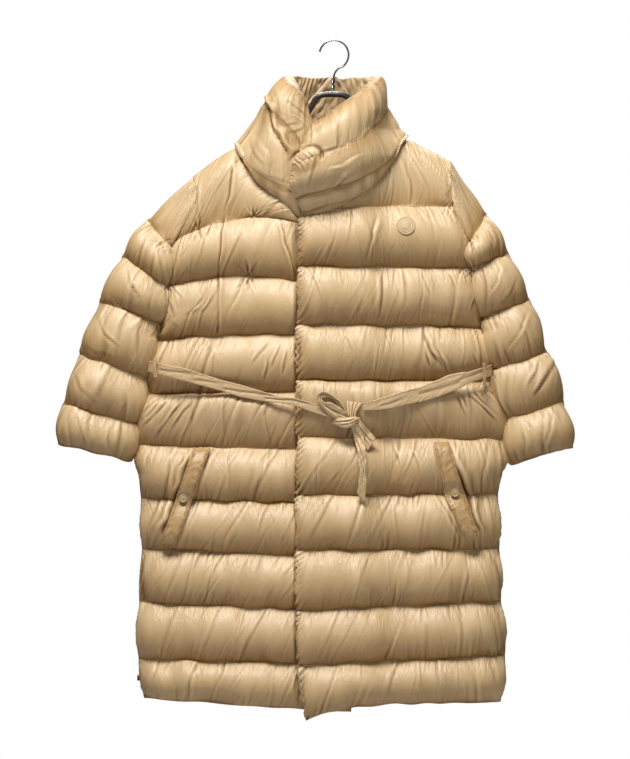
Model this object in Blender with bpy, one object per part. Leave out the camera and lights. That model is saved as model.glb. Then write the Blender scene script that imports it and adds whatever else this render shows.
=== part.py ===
"""Long puffer coat, closed with a tied belt, on a wire-hook hanger.

+Z is up and the front of the coat looks along -Y.  The origin is the point inside the top
of the hook that rests on a rail.  Left and right are the wearer's, so left is at +X.
Sizes are in millimetres until the points become a mesh, which is in metres.

Each panel of cloth is one closed wall: a plain inner surface, and an outer surface raised
into baffles between its quilting seams.
"""
from collections import namedtuple
from math import cos, pi, radians, sin

import bmesh
import bpy
import numpy as np
from mathutils import Vector
from mathutils.bvhtree import BVHTree

# ---------------------------------------------------------------- driving dimensions, mm
MM = 0.001
SEWN_GAP = 0.3            # between two pieces that are sewn together
COAT_MIDDLE = -24.0       # x of the coat's middle; the hook is at x = 0
STITCHED_WALL = 4.0       # thickness of cloth and down at a quilting seam
FRONT_CROWN = 29.0        # thickness of a front panel at a baffle's crown
BACK_CROWN = 27.0
YOKE_CROWN = 17.0         # the baffle over the shoulders is flatter
SIDE_CROWN = 11.0         # crown thickness beside the side seam, shoulder and armhole
EDGE_CROWN = 7.0          # crown thickness at the front's open edge
LAPPED_CROWN = 12.0       # crown thickness of the right front under the left one
LAPPED_FROM = -76.0       # x from which the right front lies thin under the left one
LAPPED_NECK_DROP = 14.0   # how much nearer the middle the neck lies there
LAP_LIFT = 16.0           # how far the left front stands off the right one
LAP_START, LAP_END = 42.0, 112.0   # x between which the left front comes down off it
FOLD_DEPTH = 6.0          # the long fold down the right front, from the shoulder
BACK_FLATNESS = 0.8       # the back is flatter than the front
SHOULDER_ROUND = 130.0    # height over which the front rounds off into the shoulder
NECK_DEPTH = 56.0         # half the depth of the neck opening
ARMHOLE_DEPTH = 30.0      # half the depth of an armhole
HEM_ROLL = 8.0            # thickness of the wall at the hem and cuffs

# half the depth of the hollow at the coat's middle
HollowAt = namedtuple("HollowAt", "z depth")
HOLLOW = (HollowAt(-200, 34), HollowAt(-420, 38), HollowAt(-690, 32), HollowAt(-850, 38),
          HollowAt(-1260, 42))

# quilting seams, top to bottom: height at the open edge and at the side, how far the line
# arches up between them, and how far it drops at the corner of the open edge
Seam = namedtuple("Seam", "inner outer arch drop")
LEFT_SEAMS = (Seam(-307, -307, 0, 22), Seam(-418, -420, 0, 0), Seam(-525, -528, 0, 0),
              Seam(-627, -630, 0, 0), Seam(-732, -736, 0, 0), Seam(-838, -838, 0, 0),
              Seam(-939, -939, 0, 0), Seam(-1050, -1036, 0, 0), Seam(-1150, -1136, 0, 0),
              Seam(-1222, -1222, 0, 30))
RIGHT_SEAMS = (Seam(-376, -379, 50, 0), Seam(-470, -455, 26, 0), Seam(-552, -556, 12, 0),
               Seam(-648, -653, 0, 0), Seam(-757, -747, 0, 0), Seam(-857, -845, 0, 0),
               Seam(-953, -939, 0, 0), Seam(-1053, -1037, 0, 0), Seam(-1150, -1141, 0, 0),
               Seam(-1237, -1215, 0, 0))
BACK_SEAMS = (Seam(-338, -324, 0, 0), Seam(-455, -420, 0, 0), Seam(-556, -528, 0, 0),
              Seam(-653, -630, 0, 0), Seam(-747, -736, 0, 0), Seam(-845, -838, 0, 0),
              Seam(-939, -939, 0, 0), Seam(-1037, -1036, 0, 0), Seam(-1141, -1136, 0, 0),
              Seam(-1215, -1222, 0, 0))

# outlines, as (x, z) places seen from the front
Place = namedtuple("Place", "x z")
LEFT_OPEN_EDGE = (Place(-61, -313), Place(-66, -470), Place(-67, -700), Place(-69, -960),
                  Place(-61, -1200), Place(-53, -1252))
RIGHT_OPEN_EDGE = (Place(27, -353), Place(30, -700), Place(33, -1240))
LEFT_NECK = (Place(-61, -313), Place(-10, -299), Place(29, -289), Place(70, -262),
             Place(100, -233), Place(124, -200), Place(136, -186))
RIGHT_NECK = (Place(27, -353), Place(-13, -346), Place(-54, -329), Place(-78, -304),
              Place(-107, -283), Place(-134, -262), Place(-165, -229), Place(-179, -199))
BACK_NECK = (Place(-179, -199), Place(-150, -190), Place(-80, -184), Place(-20, -182),
             Place(60, -182), Place(110, -184), Place(136, -186))
LEFT_SHOULDER = (Place(136, -186), Place(179, -203), Place(214, -223))
RIGHT_SHOULDER = (Place(-179, -199), Place(-221, -222), Place(-254, -249))
LEFT_SIDE = (Place(276, -512), Place(281, -545), Place(281, -600), Place(286, -640),
             Place(310, -692), Place(314, -738), Place(305, -849), Place(307, -914),
             Place(310, -1023), Place(318, -1136), Place(310, -1222))
RIGHT_SIDE = (Place(-322, -520), Place(-327, -556), Place(-332, -600), Place(-338, -650),
              Place(-353, -706), Place(-358, -751), Place(-356, -843), Place(-354, -941),
              Place(-359, -1037), Place(-360, -1145), Place(-350, -1215))

# levels at which the armhole, the panels beside it and the sleeve all have a row of points
ArmholeAt = namedtuple("ArmholeAt", "z front_x back_x")
LEFT_ARMHOLE = (ArmholeAt(-223, 214, 214), ArmholeAt(-238, 215, 216),
                ArmholeAt(-268, 217, 220), ArmholeAt(-295, 219, 224),
                ArmholeAt(-307, 221, 226), ArmholeAt(-324, 228, 230),
                ArmholeAt(-350, 242, 236), ArmholeAt(-373, 253, 242),
                ArmholeAt(-386, 254, 246), ArmholeAt(-400, 255, 250),
                ArmholeAt(-420, 257, 254), ArmholeAt(-436, 261, 258),
                ArmholeAt(-470, 269, 266), ArmholeAt(-496, 273, 272),
                ArmholeAt(-512, 275, 275))
RIGHT_ARMHOLE = (ArmholeAt(-249, -254, -254), ArmholeAt(-265, -253, -256),
                 ArmholeAt(-290, -252, -260), ArmholeAt(-315, -256, -265),
                 ArmholeAt(-338, -269, -270), ArmholeAt(-358, -287, -275),
                 ArmholeAt(-379, -302, -281), ArmholeAt(-395, -307, -286),
                 ArmholeAt(-417, -306, -291), ArmholeAt(-440, -306, -296),
                 ArmholeAt(-455, -307, -300), ArmholeAt(-470, -309, -305),
                 ArmholeAt(-488, -312, -311), ArmholeAt(-508, -318, -318),
                 ArmholeAt(-520, -322, -322))

# quilting seams of a sleeve: the end on its outer fold, and the height of the end on the
# armhole or, from the third on, the end on the fold under the arm
SleeveSeam = namedtuple("SleeveSeam", "outer inner depth")
LEFT_SLEEVE = (SleeveSeam(Place(214, -223), Place(214, -223), 0),
               SleeveSeam(Place(282, -318), Place(253, -373), 30),
               SleeveSeam(Place(325, -392), Place(257, -420), 30),
               SleeveSeam(Place(364, -478), Place(275, -512), 28),
               SleeveSeam(Place(397, -575), Place(295, -610), 26),
               SleeveSeam(Place(427, -666), Place(320, -701), 24),
               SleeveSeam(Place(444, -751), Place(331, -783), 22))
RIGHT_SLEEVE = (SleeveSeam(Place(-254, -249), Place(-254, -249), 0),
                SleeveSeam(Place(-342, -330), Place(-302, -379), 30),
                SleeveSeam(Place(-391, -397), Place(-307, -455), 30),
                SleeveSeam(Place(-433, -481), Place(-322, -520), 28),
                SleeveSeam(Place(-469, -579), Place(-347, -625), 26),
                SleeveSeam(Place(-501, -671), Place(-364, -710), 24),
                SleeveSeam(Place(-509, -747), Place(-380, -778), 22))
SLEEVE_CROWN = 25.0

# fractions of a baffle's height that get a row, and of a panel's width that get a column
BAFFLE_ROWS = (0.15, 0.5, 0.85, 1.0)
FRONT_COLUMNS = (0.0, 0.05, 0.15, 0.3, 0.5, 0.7, 0.85, 0.95, 1.0)
NECK_COLUMN = 5           # the front's column that reaches the neck's end
FOLD_COLUMN = 5           # the column of the long fold in the right front
BACK_COLUMNS = (0.0, 0.04, 0.11, 0.2, 0.31, 0.42, 0.53, 0.64, 0.75, 0.83, 0.9, 0.96, 1.0)
BACK_NECK_COLUMNS = (3, 9)
SLEEVE_COLUMNS = 16

# the collar: where its upper edge stands above each of its places on the neck seam, how
# far the wall leans out halfway up, and how thick it is there
CollarAt = namedtuple("CollarAt", "x y z lean crown")
COLLAR_LEFT_END = (CollarAt(-54, -82, -180, 12, 20), CollarAt(-43, -84, -165, 15, 27),
                   CollarAt(-14, -80, -142, 17, 31), CollarAt(24, -70, -116, 16, 32),
                   CollarAt(58, -44, -88, 6, 31), CollarAt(82, 0, -66, -22, 30))
COLLAR_BACK = (CollarAt(62, 24, -66, -8, 26), CollarAt(34, 34, -66, 4, 22),
               CollarAt(0, 38, -66, 6, 22), CollarAt(-34, 34, -66, 4, 22),
               CollarAt(-62, 24, -65, -8, 26))
COLLAR_RIGHT_END = (CollarAt(-80, 0, -65, -18, 30), CollarAt(-68, -30, -84, 8, 32),
                    CollarAt(-53, -44, -110, 4, 15), CollarAt(-41, -46, -142, 1, 9),
                    CollarAt(-26, -46, -170, 0, 8), CollarAt(-12, -48, -190, 0, 7))
COLLAR_ROWS = (0.0, 0.06, 0.13, 0.22, 0.35, 0.48, 0.56, 0.66, 0.8, 0.93, 1.0)
COLLAR_SEAMS = (0.0, 0.13, 0.56, 1.0)
COLLAR_EDGE = 16.0        # thickness of the collar's rolled upper edge

# what is sewn on and tied round
BELT_WIDTH = 21.0
BELT_THICKNESS = 3.0
BELT_CLEARANCE = 1.6
BELT_STEP = 16.0
BELT_TURNS = 15
FAR_OFF = 400.0           # where a measuring line starts, outside the coat
SIDE_SEAM_MISS = 0.8      # keeps a measuring line out of the gap between front and back
BELT_LEVELS = (Place(-330, -596), Place(-302, -608), Place(-245, -626), Place(-172, -645),
               Place(-124, -662), Place(-69, -675), Place(0, -696), Place(48, -684),
               Place(109, -666), Place(177, -647), Place(235, -627), Place(268, -612),
               Place(300, -603))
BELT_BACK_LEVEL = -604.0
BELT_ENDS = (215.0, -262.0)   # x between which it runs straight, before it turns at the sides
LOOP_TURN = 0.78           # how far round the side a belt loop stands
LOOP_LIFT = 3.0
LOOP_WIDTH = 10.0
LOOP_THICKNESS = 1.6
KNOT = Place(24, -703)
KNOT_SIZE = (40.0, 20.0, 22.0)
BOW_FOOT = Place(10, -688)
BOW_TIP = Place(-18, -654)
BOW_OPEN = 7.0
BOW_WIDTH = 16.0
WELT_THICKNESS = 8.0
WELT_EDGE = 2.5
WELT_CLEARANCE = 1.2
WELT_STEP = 7.5
WeltAt = namedtuple("WeltAt", "z near far")
LEFT_WELT = (WeltAt(-741, 184, 214), WeltAt(-806, 199, 232), WeltAt(-841, 206, 244),
             WeltAt(-880, 224, 257), WeltAt(-922, 242, 270))
RIGHT_WELT = (WeltAt(-752, -258, -226), WeltAt(-800, -274, -243), WeltAt(-846, -290, -259),
              WeltAt(-890, -305, -274), WeltAt(-928, -318, -290))
SNAP_RADIUS = 8.0
SNAP_THICKNESS = 3.0
LEFT_SNAP = Place(226, -834)
RIGHT_SNAP = Place(-277, -846)
PATCH = Place(135, -341)
PATCH_RADIUS = 17.0
PATCH_THICKNESS = 1.5
TAG_SIZE = (7.0, 1.2, 10.0)
TAG_HEIGHT = -1185.0

# the hanger
WIRE_RADIUS = 1.85
HOOK_RADIUS = 27.0
HOOK_CENTRE = Place(1.5, -25.2)
STEM = (Place(9, -51), Place(2.5, -60), Place(0, -70), Place(0, -88))
ARM_RADIUS = 6.5
ARMS = (Place(-232, -272), Place(-170, -240), Place(-110, -204), Place(-64, -160),
        Place(-42, -124), Place(-29, -103), Place(0, -98), Place(27, -103), Place(40, -122),
        Place(66, -158), Place(110, -202), Place(160, -233), Place(196, -256))

# colour, roughness and metallic value of each material
MATERIALS = {"nylon": ((0.56, 0.41, 0.24), 0.42, 0.0),
             "black_tag": ((0.01, 0.01, 0.01), 0.6, 0.0),
             "black_plastic": ((0.02, 0.018, 0.016), 0.35, 0.0),
             "steel": ((0.6, 0.6, 0.6), 0.25, 1.0)}


# ---------------------------------------------------------------- scene and mesh helpers
def clear_scene():
    for old in list(bpy.data.objects):
        bpy.data.objects.remove(old, do_unlink=True)


def make_material(name):
    colour, roughness, metallic = MATERIALS[name]
    material = bpy.data.materials.get(name) or bpy.data.materials.new(name)
    material.use_nodes = True
    shader = material.node_tree.nodes["Principled BSDF"]
    shader.inputs["Base Color"].default_value = (*colour, 1.0)
    shader.inputs["Roughness"].default_value = roughness
    shader.inputs["Metallic"].default_value = metallic
    return material


def add_object(name, mesh, material):
    part = bpy.data.objects.new(name, mesh)
    bpy.data.collections["puffer_coat"].objects.link(part)
    mesh.materials.append(make_material(material))
    return part


def grid_triangles(rows, columns, start=0):
    """Two triangles for each square of a grid of points, always cut the same way."""
    triangles = []
    for row in range(rows - 1):
        for column in range(columns - 1):
            corner = start + row * columns + column
            across, below = corner + 1, corner + columns
            triangles += [(corner, below, below + 1), (corner, below + 1, across)]
    return triangles


def wall(name, outer, inner, material="nylon"):
    """One closed wall between two grids of points that have the same rows and columns."""
    rows, columns = outer.shape[:2]
    count = rows * columns
    rim = ([(0, column) for column in range(columns)]
           + [(row, columns - 1) for row in range(1, rows)]
           + [(rows - 1, column) for column in range(columns - 2, -1, -1)]
           + [(row, 0) for row in range(rows - 2, 0, -1)])
    rim = [row * columns + column for row, column in rim]
    points = np.concatenate([outer.reshape(-1, 3), inner.reshape(-1, 3)]) * MM
    triangles = grid_triangles(rows, columns) + grid_triangles(rows, columns, count)
    for here, after in zip(rim, rim[1:] + rim[:1]):
        down = np.linalg.norm(points[here] - points[after + count])
        up = np.linalg.norm(points[after] - points[here + count])
        if down < up:     # the shorter way, so that two sewn edges are cut alike
            triangles += [(here, after, after + count), (here, after + count, here + count)]
        else:
            triangles += [(here, after, here + count), (after, after + count, here + count)]
    mesh = bpy.data.meshes.new(name)
    mesh.from_pydata([tuple(point) for point in points], [], triangles)
    shape = bmesh.new()
    shape.from_mesh(mesh)
    bmesh.ops.recalc_face_normals(shape, faces=shape.faces)
    shape.to_mesh(mesh)
    shape.free()
    mesh.shade_smooth()
    return add_object(name, mesh, material)


def along(table, at, key="z", value="x"):
    """Read a table of places as a smooth curve through them."""
    keys = np.array([getattr(row, key) for row in table], float)
    values = np.array([getattr(row, value) for row in table], float)
    if keys[0] > keys[-1]:
        keys, values = keys[::-1], values[::-1]
    slopes = np.gradient(values, keys)
    at = np.clip(np.asarray(at, float), keys[0], keys[-1])
    spot = np.clip(np.searchsorted(keys, at) - 1, 0, len(keys) - 2)
    width = keys[spot + 1] - keys[spot]
    t = (at - keys[spot]) / width
    return ((2 * t**3 - 3 * t**2 + 1) * values[spot] + (t**3 - 2 * t**2 + t) * width * slopes[spot]
            + (3 * t**2 - 2 * t**3) * values[spot + 1] + (t**3 - t**2) * width * slopes[spot + 1])


def blend(first, second, amount):
    return first + (second - first) * amount


def soft_step(low, high, at):
    t = np.clip((at - low) / (high - low), 0.0, 1.0)
    return t * t * (3 - 2 * t)


def unit(vectors):
    return vectors / np.maximum(np.linalg.norm(vectors, axis=-1, keepdims=True), 1e-9)


def baffle_bulge(fraction):
    """Height of a baffle's section, fullest just below its middle: 0 at both seams."""
    sagged = np.clip(fraction, 0, 1) ** 1.12
    return np.sqrt(np.maximum(1 - (2 * sagged - 1) ** 2, 0))


def surface_normals(points, outward):
    """Unit normals of a grid of points, on the side that outward points to."""
    down = np.gradient(points, axis=0)
    across = np.gradient(points, axis=1)
    normals = unit(np.cross(down, across))
    flip = np.sign((normals * outward).sum(-1, keepdims=True))
    return normals * np.where(flip == 0, 1, flip)


# ---------------------------------------------------------------- the armholes
class Armhole:
    """The sewn curve between a sleeve and the panels: points, directions, thicknesses."""

    def __init__(self, table, shoulder):
        self.levels = np.array([row.z for row in table], float)
        share = (self.levels[0] - self.levels) / (self.levels[0] - self.levels[-1])
        depth = SEWN_GAP / 2 + ARMHOLE_DEPTH * np.sin(pi * share) ** 0.6
        depth[[0, -1]] = SEWN_GAP / 2
        slope = np.array([shoulder[-1].x - shoulder[-2].x, 0, shoulder[-1].z - shoulder[-2].z])
        top = unit(np.array([-slope[2], 0, slope[0]]) * np.sign(slope[0]))
        self.wall = blend(EDGE_CROWN, STITCHED_WALL, soft_step(0.0, 0.3, share))
        self.points, self.normals = {}, {}
        for face, sign, flatness in (("front_x", -1, 1.0), ("back_x", 1, BACK_FLATNESS)):
            x = np.array([getattr(row, face) for row in table], float)
            y = sign * np.maximum(depth * flatness, SEWN_GAP / 2)
            points = np.stack([x, y, self.levels], -1)
            tangent = np.gradient(points, axis=0)
            normals = unit(np.cross(tangent, [1.0, 0, 0])) * -sign
            normals[0] = top
            normals[-1] = (0, 0, -1)
            self.points[sign] = points
            self.normals[sign] = normals

    def at(self, sign, index):
        """Point, direction and thickness at a whole or part index of the levels."""
        low = min(int(index), len(self.levels) - 2)
        points, offsets = self.points[sign], self.normals[sign] * self.wall[:, None]
        offset = blend(offsets[low], offsets[low + 1], index - low)
        thickness = float(np.linalg.norm(offset))
        return blend(points[low], points[low + 1], index - low), offset / thickness, thickness


# ---------------------------------------------------------------- body panels
def hollow_half_depth(x, z, edge_x, edge_depth, top_z, top_depth):
    """Half the hollow's depth behind a point of a panel."""
    across = np.clip(abs(x - COAT_MIDDLE) / abs(edge_x - COAT_MIDDLE), 0, 1)
    below = np.clip((top_z - z) / SHOULDER_ROUND, 0, 1)
    middle = along(HOLLOW, z, value="depth")
    core = blend(top_depth, middle, np.sqrt(1 - (1 - below) ** 2))
    roundness = blend(1 / 1.8, 1.0, np.clip(edge_depth / 12, 0, 1))
    return blend(edge_depth, core, (1 - across**2.6) ** roundness)


def neck_half_depth(x):
    """Half the depth of the neck opening at x; it closes at both ends of the neck."""
    low, high = RIGHT_NECK[-1].x, LEFT_NECK[-1].x
    share = np.clip((2 * x - low - high) / (high - low), -1, 1)
    return NECK_DEPTH * np.sqrt(1 - share**2)


def panel_rows(seams, armhole):
    """Baffle number, fraction and armhole index of each row below the neck."""
    rows = []
    top = armhole.levels[0]
    for number, seam in enumerate(seams):
        low = seam.outer
        inside = [(index, z) for index, z in enumerate(armhole.levels)
                  if low - 0.5 <= z < top - 0.5]
        for index, z in inside:
            rows.append((number, (top - z) / (top - low), index))
        steps = [step for step in BAFFLE_ROWS if not inside or low < armhole.levels[-1] - 0.5]
        for step in steps:
            if blend(top, low, step) < armhole.levels[-1] - 9:
                rows.append((number, step, None))
        top = low
    return rows


def front_panel(name, side, seams, open_edge, neck, shoulder, body_side, armhole, lapped):
    """A front: side is +1 for the left one and -1 for the right one."""
    columns = np.array(FRONT_COLUMNS)
    neck_end = columns[NECK_COLUMN]
    top_x = np.where(columns <= neck_end,
                     blend(neck[0].x, neck[-1].x, columns / neck_end),
                     blend(shoulder[0].x, shoulder[-1].x, (columns - neck_end) / (1 - neck_end)))
    ordered_neck = sorted(neck, key=lambda place: place.x)
    ordered_shoulder = sorted(shoulder, key=lambda place: place.x)
    top_z = np.where(columns <= neck_end, along(ordered_neck, top_x, "x", "z"),
                     along(ordered_shoulder, top_x, "x", "z"))
    top_depth = np.where(columns < neck_end, neck_half_depth(top_x), SEWN_GAP / 2)
    if lapped:
        top_depth = top_depth - LAPPED_NECK_DROP * soft_step(LAPPED_FROM, 0.0, top_x)
    rows = [(0, 0.0, 0)] + panel_rows(seams, armhole)
    inner = np.zeros((len(rows), len(columns), 3))
    for r, (number, fraction, index) in enumerate(rows):
        seam_z = [seam_line(seams[k], columns) for k in (max(number - 1, 0), number)]
        above = top_z if number == 0 else seam_z[0]
        z = blend(above, seam_z[1], fraction)
        low_x = blend(along(open_edge, seam_z[1][0]), panel_edge(seams[number].outer, body_side,
                                                                 armhole, side), columns)
        if number == 0:
            x = blend(top_x, low_x, fraction)
        else:
            x = blend(along(open_edge, z[0]), panel_edge(z[-1], body_side, armhole, side), columns)
        if index is not None:
            x += (armhole.points[-1][index][0] - x[-1]) * columns**3
            edge_depth = -armhole.points[-1][index][1]
        else:
            edge_depth = SEWN_GAP / 2
        depth = hollow_half_depth(x, z, x[-1], edge_depth, top_z, top_depth)
        if side > 0:
            depth = depth + LAP_LIFT * (1 - soft_step(LAP_START, LAP_END, x))
        inner[r] = np.stack([x, -np.maximum(depth, SEWN_GAP / 2), z], -1)
    normals = surface_normals(inner, np.array([0.0, -1.0, 0.0]))
    normals[0, columns >= neck_end] = armhole.normals[-1][0]
    for r, (number, fraction, index) in enumerate(rows):
        if index is None:
            normals[r, -1] = (side, 0, 0)
        else:
            follow_armhole(normals, r, -1, armhole.normals[-1][index])
    thickness = panel_thickness(rows, columns, inner, FRONT_CROWN, armhole)
    if lapped:
        crown, share = LAPPED_CROWN, soft_step(LAPPED_FROM, LAPPED_FROM - 45, inner[:, :, 0])
    else:
        crown, share = EDGE_CROWN, soft_step(-0.02, 0.2, columns)
    thin = (crown - STITCHED_WALL) / (FRONT_CROWN - STITCHED_WALL)
    thickness = STITCHED_WALL + (thickness - STITCHED_WALL) * blend(thin, 1.0, share)
    if lapped:
        near_top = soft_step(-620.0, -500.0, inner[:, FOLD_COLUMN, 2])
        thickness[:, FOLD_COLUMN] -= np.minimum(FOLD_DEPTH * near_top,
                                                thickness[:, FOLD_COLUMN] - STITCHED_WALL)
    outer = inner + normals * thickness[:, :, None]
    wall(name, outer, inner)
    return outer, inner


def seam_line(seam, columns):
    """Heights of a quilting seam at the panel's columns."""
    return (blend(seam.inner, seam.outer, columns) + seam.arch * np.sin(pi * columns) ** 0.8
            - seam.drop * (1 - columns) ** 5)


def panel_edge(z, body_side, armhole, side):
    """x of the hollow's edge at height z: the armhole's line, or the side less its wall."""
    if z >= armhole.levels[-1] - 0.5:
        return float(np.interp(-z, -armhole.levels, armhole.points[-1][:, 0]))
    return float(along(body_side, z)) - side * SIDE_CROWN


def follow_armhole(normals, row, edge, direction):
    """Give the edge point its sewn direction, and lead the points beside it towards it."""
    step = 1 if edge == 0 else -1
    normals[row, edge] = direction
    for count, share in ((1, 0.75), (2, 0.4)):
        beside = edge + step * count
        normals[row, beside] = unit(blend(normals[row, beside], direction, share))


def panel_thickness(rows, columns, inner, crown, armhole):
    """Thickness of a panel at its rows and columns, before its open edge is thinned."""
    beside_edge = soft_step(1.0, 0.8, columns)
    thickness = np.zeros(inner.shape[:2])
    for r, (number, fraction, index) in enumerate(rows):
        full = blend(YOKE_CROWN, crown, min(number, 1))
        if number == 0:
            height = inner[0, :, 2] - inner[r, :, 2]
            full = np.minimum(full, 4 + 0.35 * np.maximum(height, 0) + 0.12 * crown)
        peak = blend(SIDE_CROWN, full, beside_edge)
        bulge = baffle_bulge(fraction)
        if r == len(rows) - 1:
            thickness[r] = HEM_ROLL
        else:
            thickness[r] = STITCHED_WALL + (peak - STITCHED_WALL) * bulge
        if index is not None:
            thickness[r, -1] = armhole.wall[index]
    shoulder = columns >= FRONT_COLUMNS[NECK_COLUMN]
    thickness[0] = np.where(shoulder, EDGE_CROWN, STITCHED_WALL)
    return thickness


def back_panel(left_armhole, right_armhole):
    """The back, from the wearer's right side to the left one."""
    columns = np.array(BACK_COLUMNS)
    first, last = BACK_NECK_COLUMNS
    low, high = columns[first], columns[last]
    top_x = np.select(
        [columns < low, columns <= high],
        [blend(RIGHT_SHOULDER[-1].x, RIGHT_SHOULDER[0].x, columns / low),
         blend(BACK_NECK[0].x, BACK_NECK[-1].x, (columns - low) / (high - low))],
        blend(LEFT_SHOULDER[0].x, LEFT_SHOULDER[-1].x, (columns - high) / (1 - high)))
    outline = list(reversed(RIGHT_SHOULDER)) + list(BACK_NECK[1:-1]) + list(LEFT_SHOULDER)
    top_z = along(outline, top_x, "x", "z")
    top_z[first], top_z[last] = BACK_NECK[0].z, BACK_NECK[-1].z
    inside_neck = (columns > low) & (columns < high)
    top_depth = np.where(inside_neck, BACK_FLATNESS * neck_half_depth(top_x), SEWN_GAP / 2)
    rows = back_rows(left_armhole, right_armhole)
    inner = np.zeros((len(rows), len(columns), 3))
    for r, (number, fractions, index) in enumerate(rows):
        seam = BACK_SEAMS[number]
        above = top_z if number == 0 else seam_line(BACK_SEAMS[number - 1], columns)
        fraction = blend(fractions[0], fractions[1], columns)
        z = blend(above, seam_line(seam, columns), fraction)
        edges = [back_edge(z[0], RIGHT_SIDE, right_armhole, -1),
                 back_edge(z[-1], LEFT_SIDE, left_armhole, 1)]
        straight = blend(edges[0], edges[1], columns)
        x = blend(top_x, straight, min(1.0, 2.2 * fractions.mean())) if number == 0 else straight
        depths = [SEWN_GAP / 2, SEWN_GAP / 2]
        if index is not None:
            for end, armhole in ((0, right_armhole), (-1, left_armhole)):
                point = armhole.points[1][index]
                reach = (1 - columns) if end == 0 else columns
                x = x + (point[0] - x[end]) * reach**3
                z = z + (point[2] - z[end]) * reach**3
                depths[end] = point[1]
        halves = np.where(x < COAT_MIDDLE, 0, 1)
        edge_x = np.where(halves == 0, x[0], x[-1])
        edge_depth = np.where(halves == 0, depths[0], depths[1]) / BACK_FLATNESS
        depth = BACK_FLATNESS * hollow_half_depth(x, z, edge_x, edge_depth, top_z,
                                                  top_depth / BACK_FLATNESS)
        inner[r] = np.stack([x, np.maximum(depth, SEWN_GAP / 2), z], -1)
    normals = surface_normals(inner, np.array([0.0, 1.0, 0.0]))
    normals[0, columns <= low] = right_armhole.normals[1][0]
    normals[0, columns >= high] = left_armhole.normals[1][0]
    thickness = np.zeros(inner.shape[:2])
    beside_edge = soft_step(0.0, 0.12, columns) * soft_step(1.0, 0.88, columns)
    for r, (number, fractions, index) in enumerate(rows):
        full = YOKE_CROWN if number == 0 else BACK_CROWN
        if number == 0:
            height = inner[0, :, 2] - inner[r, :, 2]
            full = np.minimum(full, 4 + 0.35 * np.maximum(height, 0) + 0.12 * BACK_CROWN)
        peak = blend(SIDE_CROWN, full, beside_edge)
        bulge = baffle_bulge(blend(fractions[0], fractions[1], columns))
        thickness[r] = STITCHED_WALL + (peak - STITCHED_WALL) * bulge
        for end, armhole, side in ((0, right_armhole, -1), (-1, left_armhole, 1)):
            if index is None:
                normals[r, end] = (side, 0, 0)
            else:
                follow_armhole(normals, r, end, armhole.normals[1][index])
                thickness[r, end] = armhole.wall[index]
    thickness[-1] = HEM_ROLL
    thickness[0] = np.where(inside_neck, STITCHED_WALL, EDGE_CROWN)
    outer = inner + normals * thickness[:, :, None]
    wall("back_panel", outer, inner)
    return outer, inner


def back_rows(left_armhole, right_armhole):
    """Baffle number, its fraction at both sides, and armhole index of each row of the back."""
    rows = []
    count = len(left_armhole.levels)
    for index in range(count):
        heights = (right_armhole.levels[index], left_armhole.levels[index])
        number = sum(1 for seam in BACK_SEAMS if heights[1] <= seam.outer - 0.5)
        fractions = []
        for height, end, start in ((heights[0], "inner", right_armhole.levels[0]),
                                   (heights[1], "outer", left_armhole.levels[0])):
            top = start if number == 0 else getattr(BACK_SEAMS[number - 1], end)
            low = getattr(BACK_SEAMS[number], end)
            fractions.append(np.clip((top - height) / (top - low), 0, 1))
        rows.append((number, np.array(fractions), index))
    number = rows[-1][0]
    rows.append((number, np.array([1.0, 1.0]), None))
    for number in range(number + 1, len(BACK_SEAMS)):
        rows += [(number, np.array([step, step]), None) for step in BAFFLE_ROWS]
    return rows


def back_edge(z, body_side, armhole, side):
    if z >= armhole.levels[-1] - 0.5:
        return float(np.interp(-z, -armhole.levels, armhole.points[1][:, 0]))
    return float(along(body_side, z)) - side * SIDE_CROWN


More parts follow.
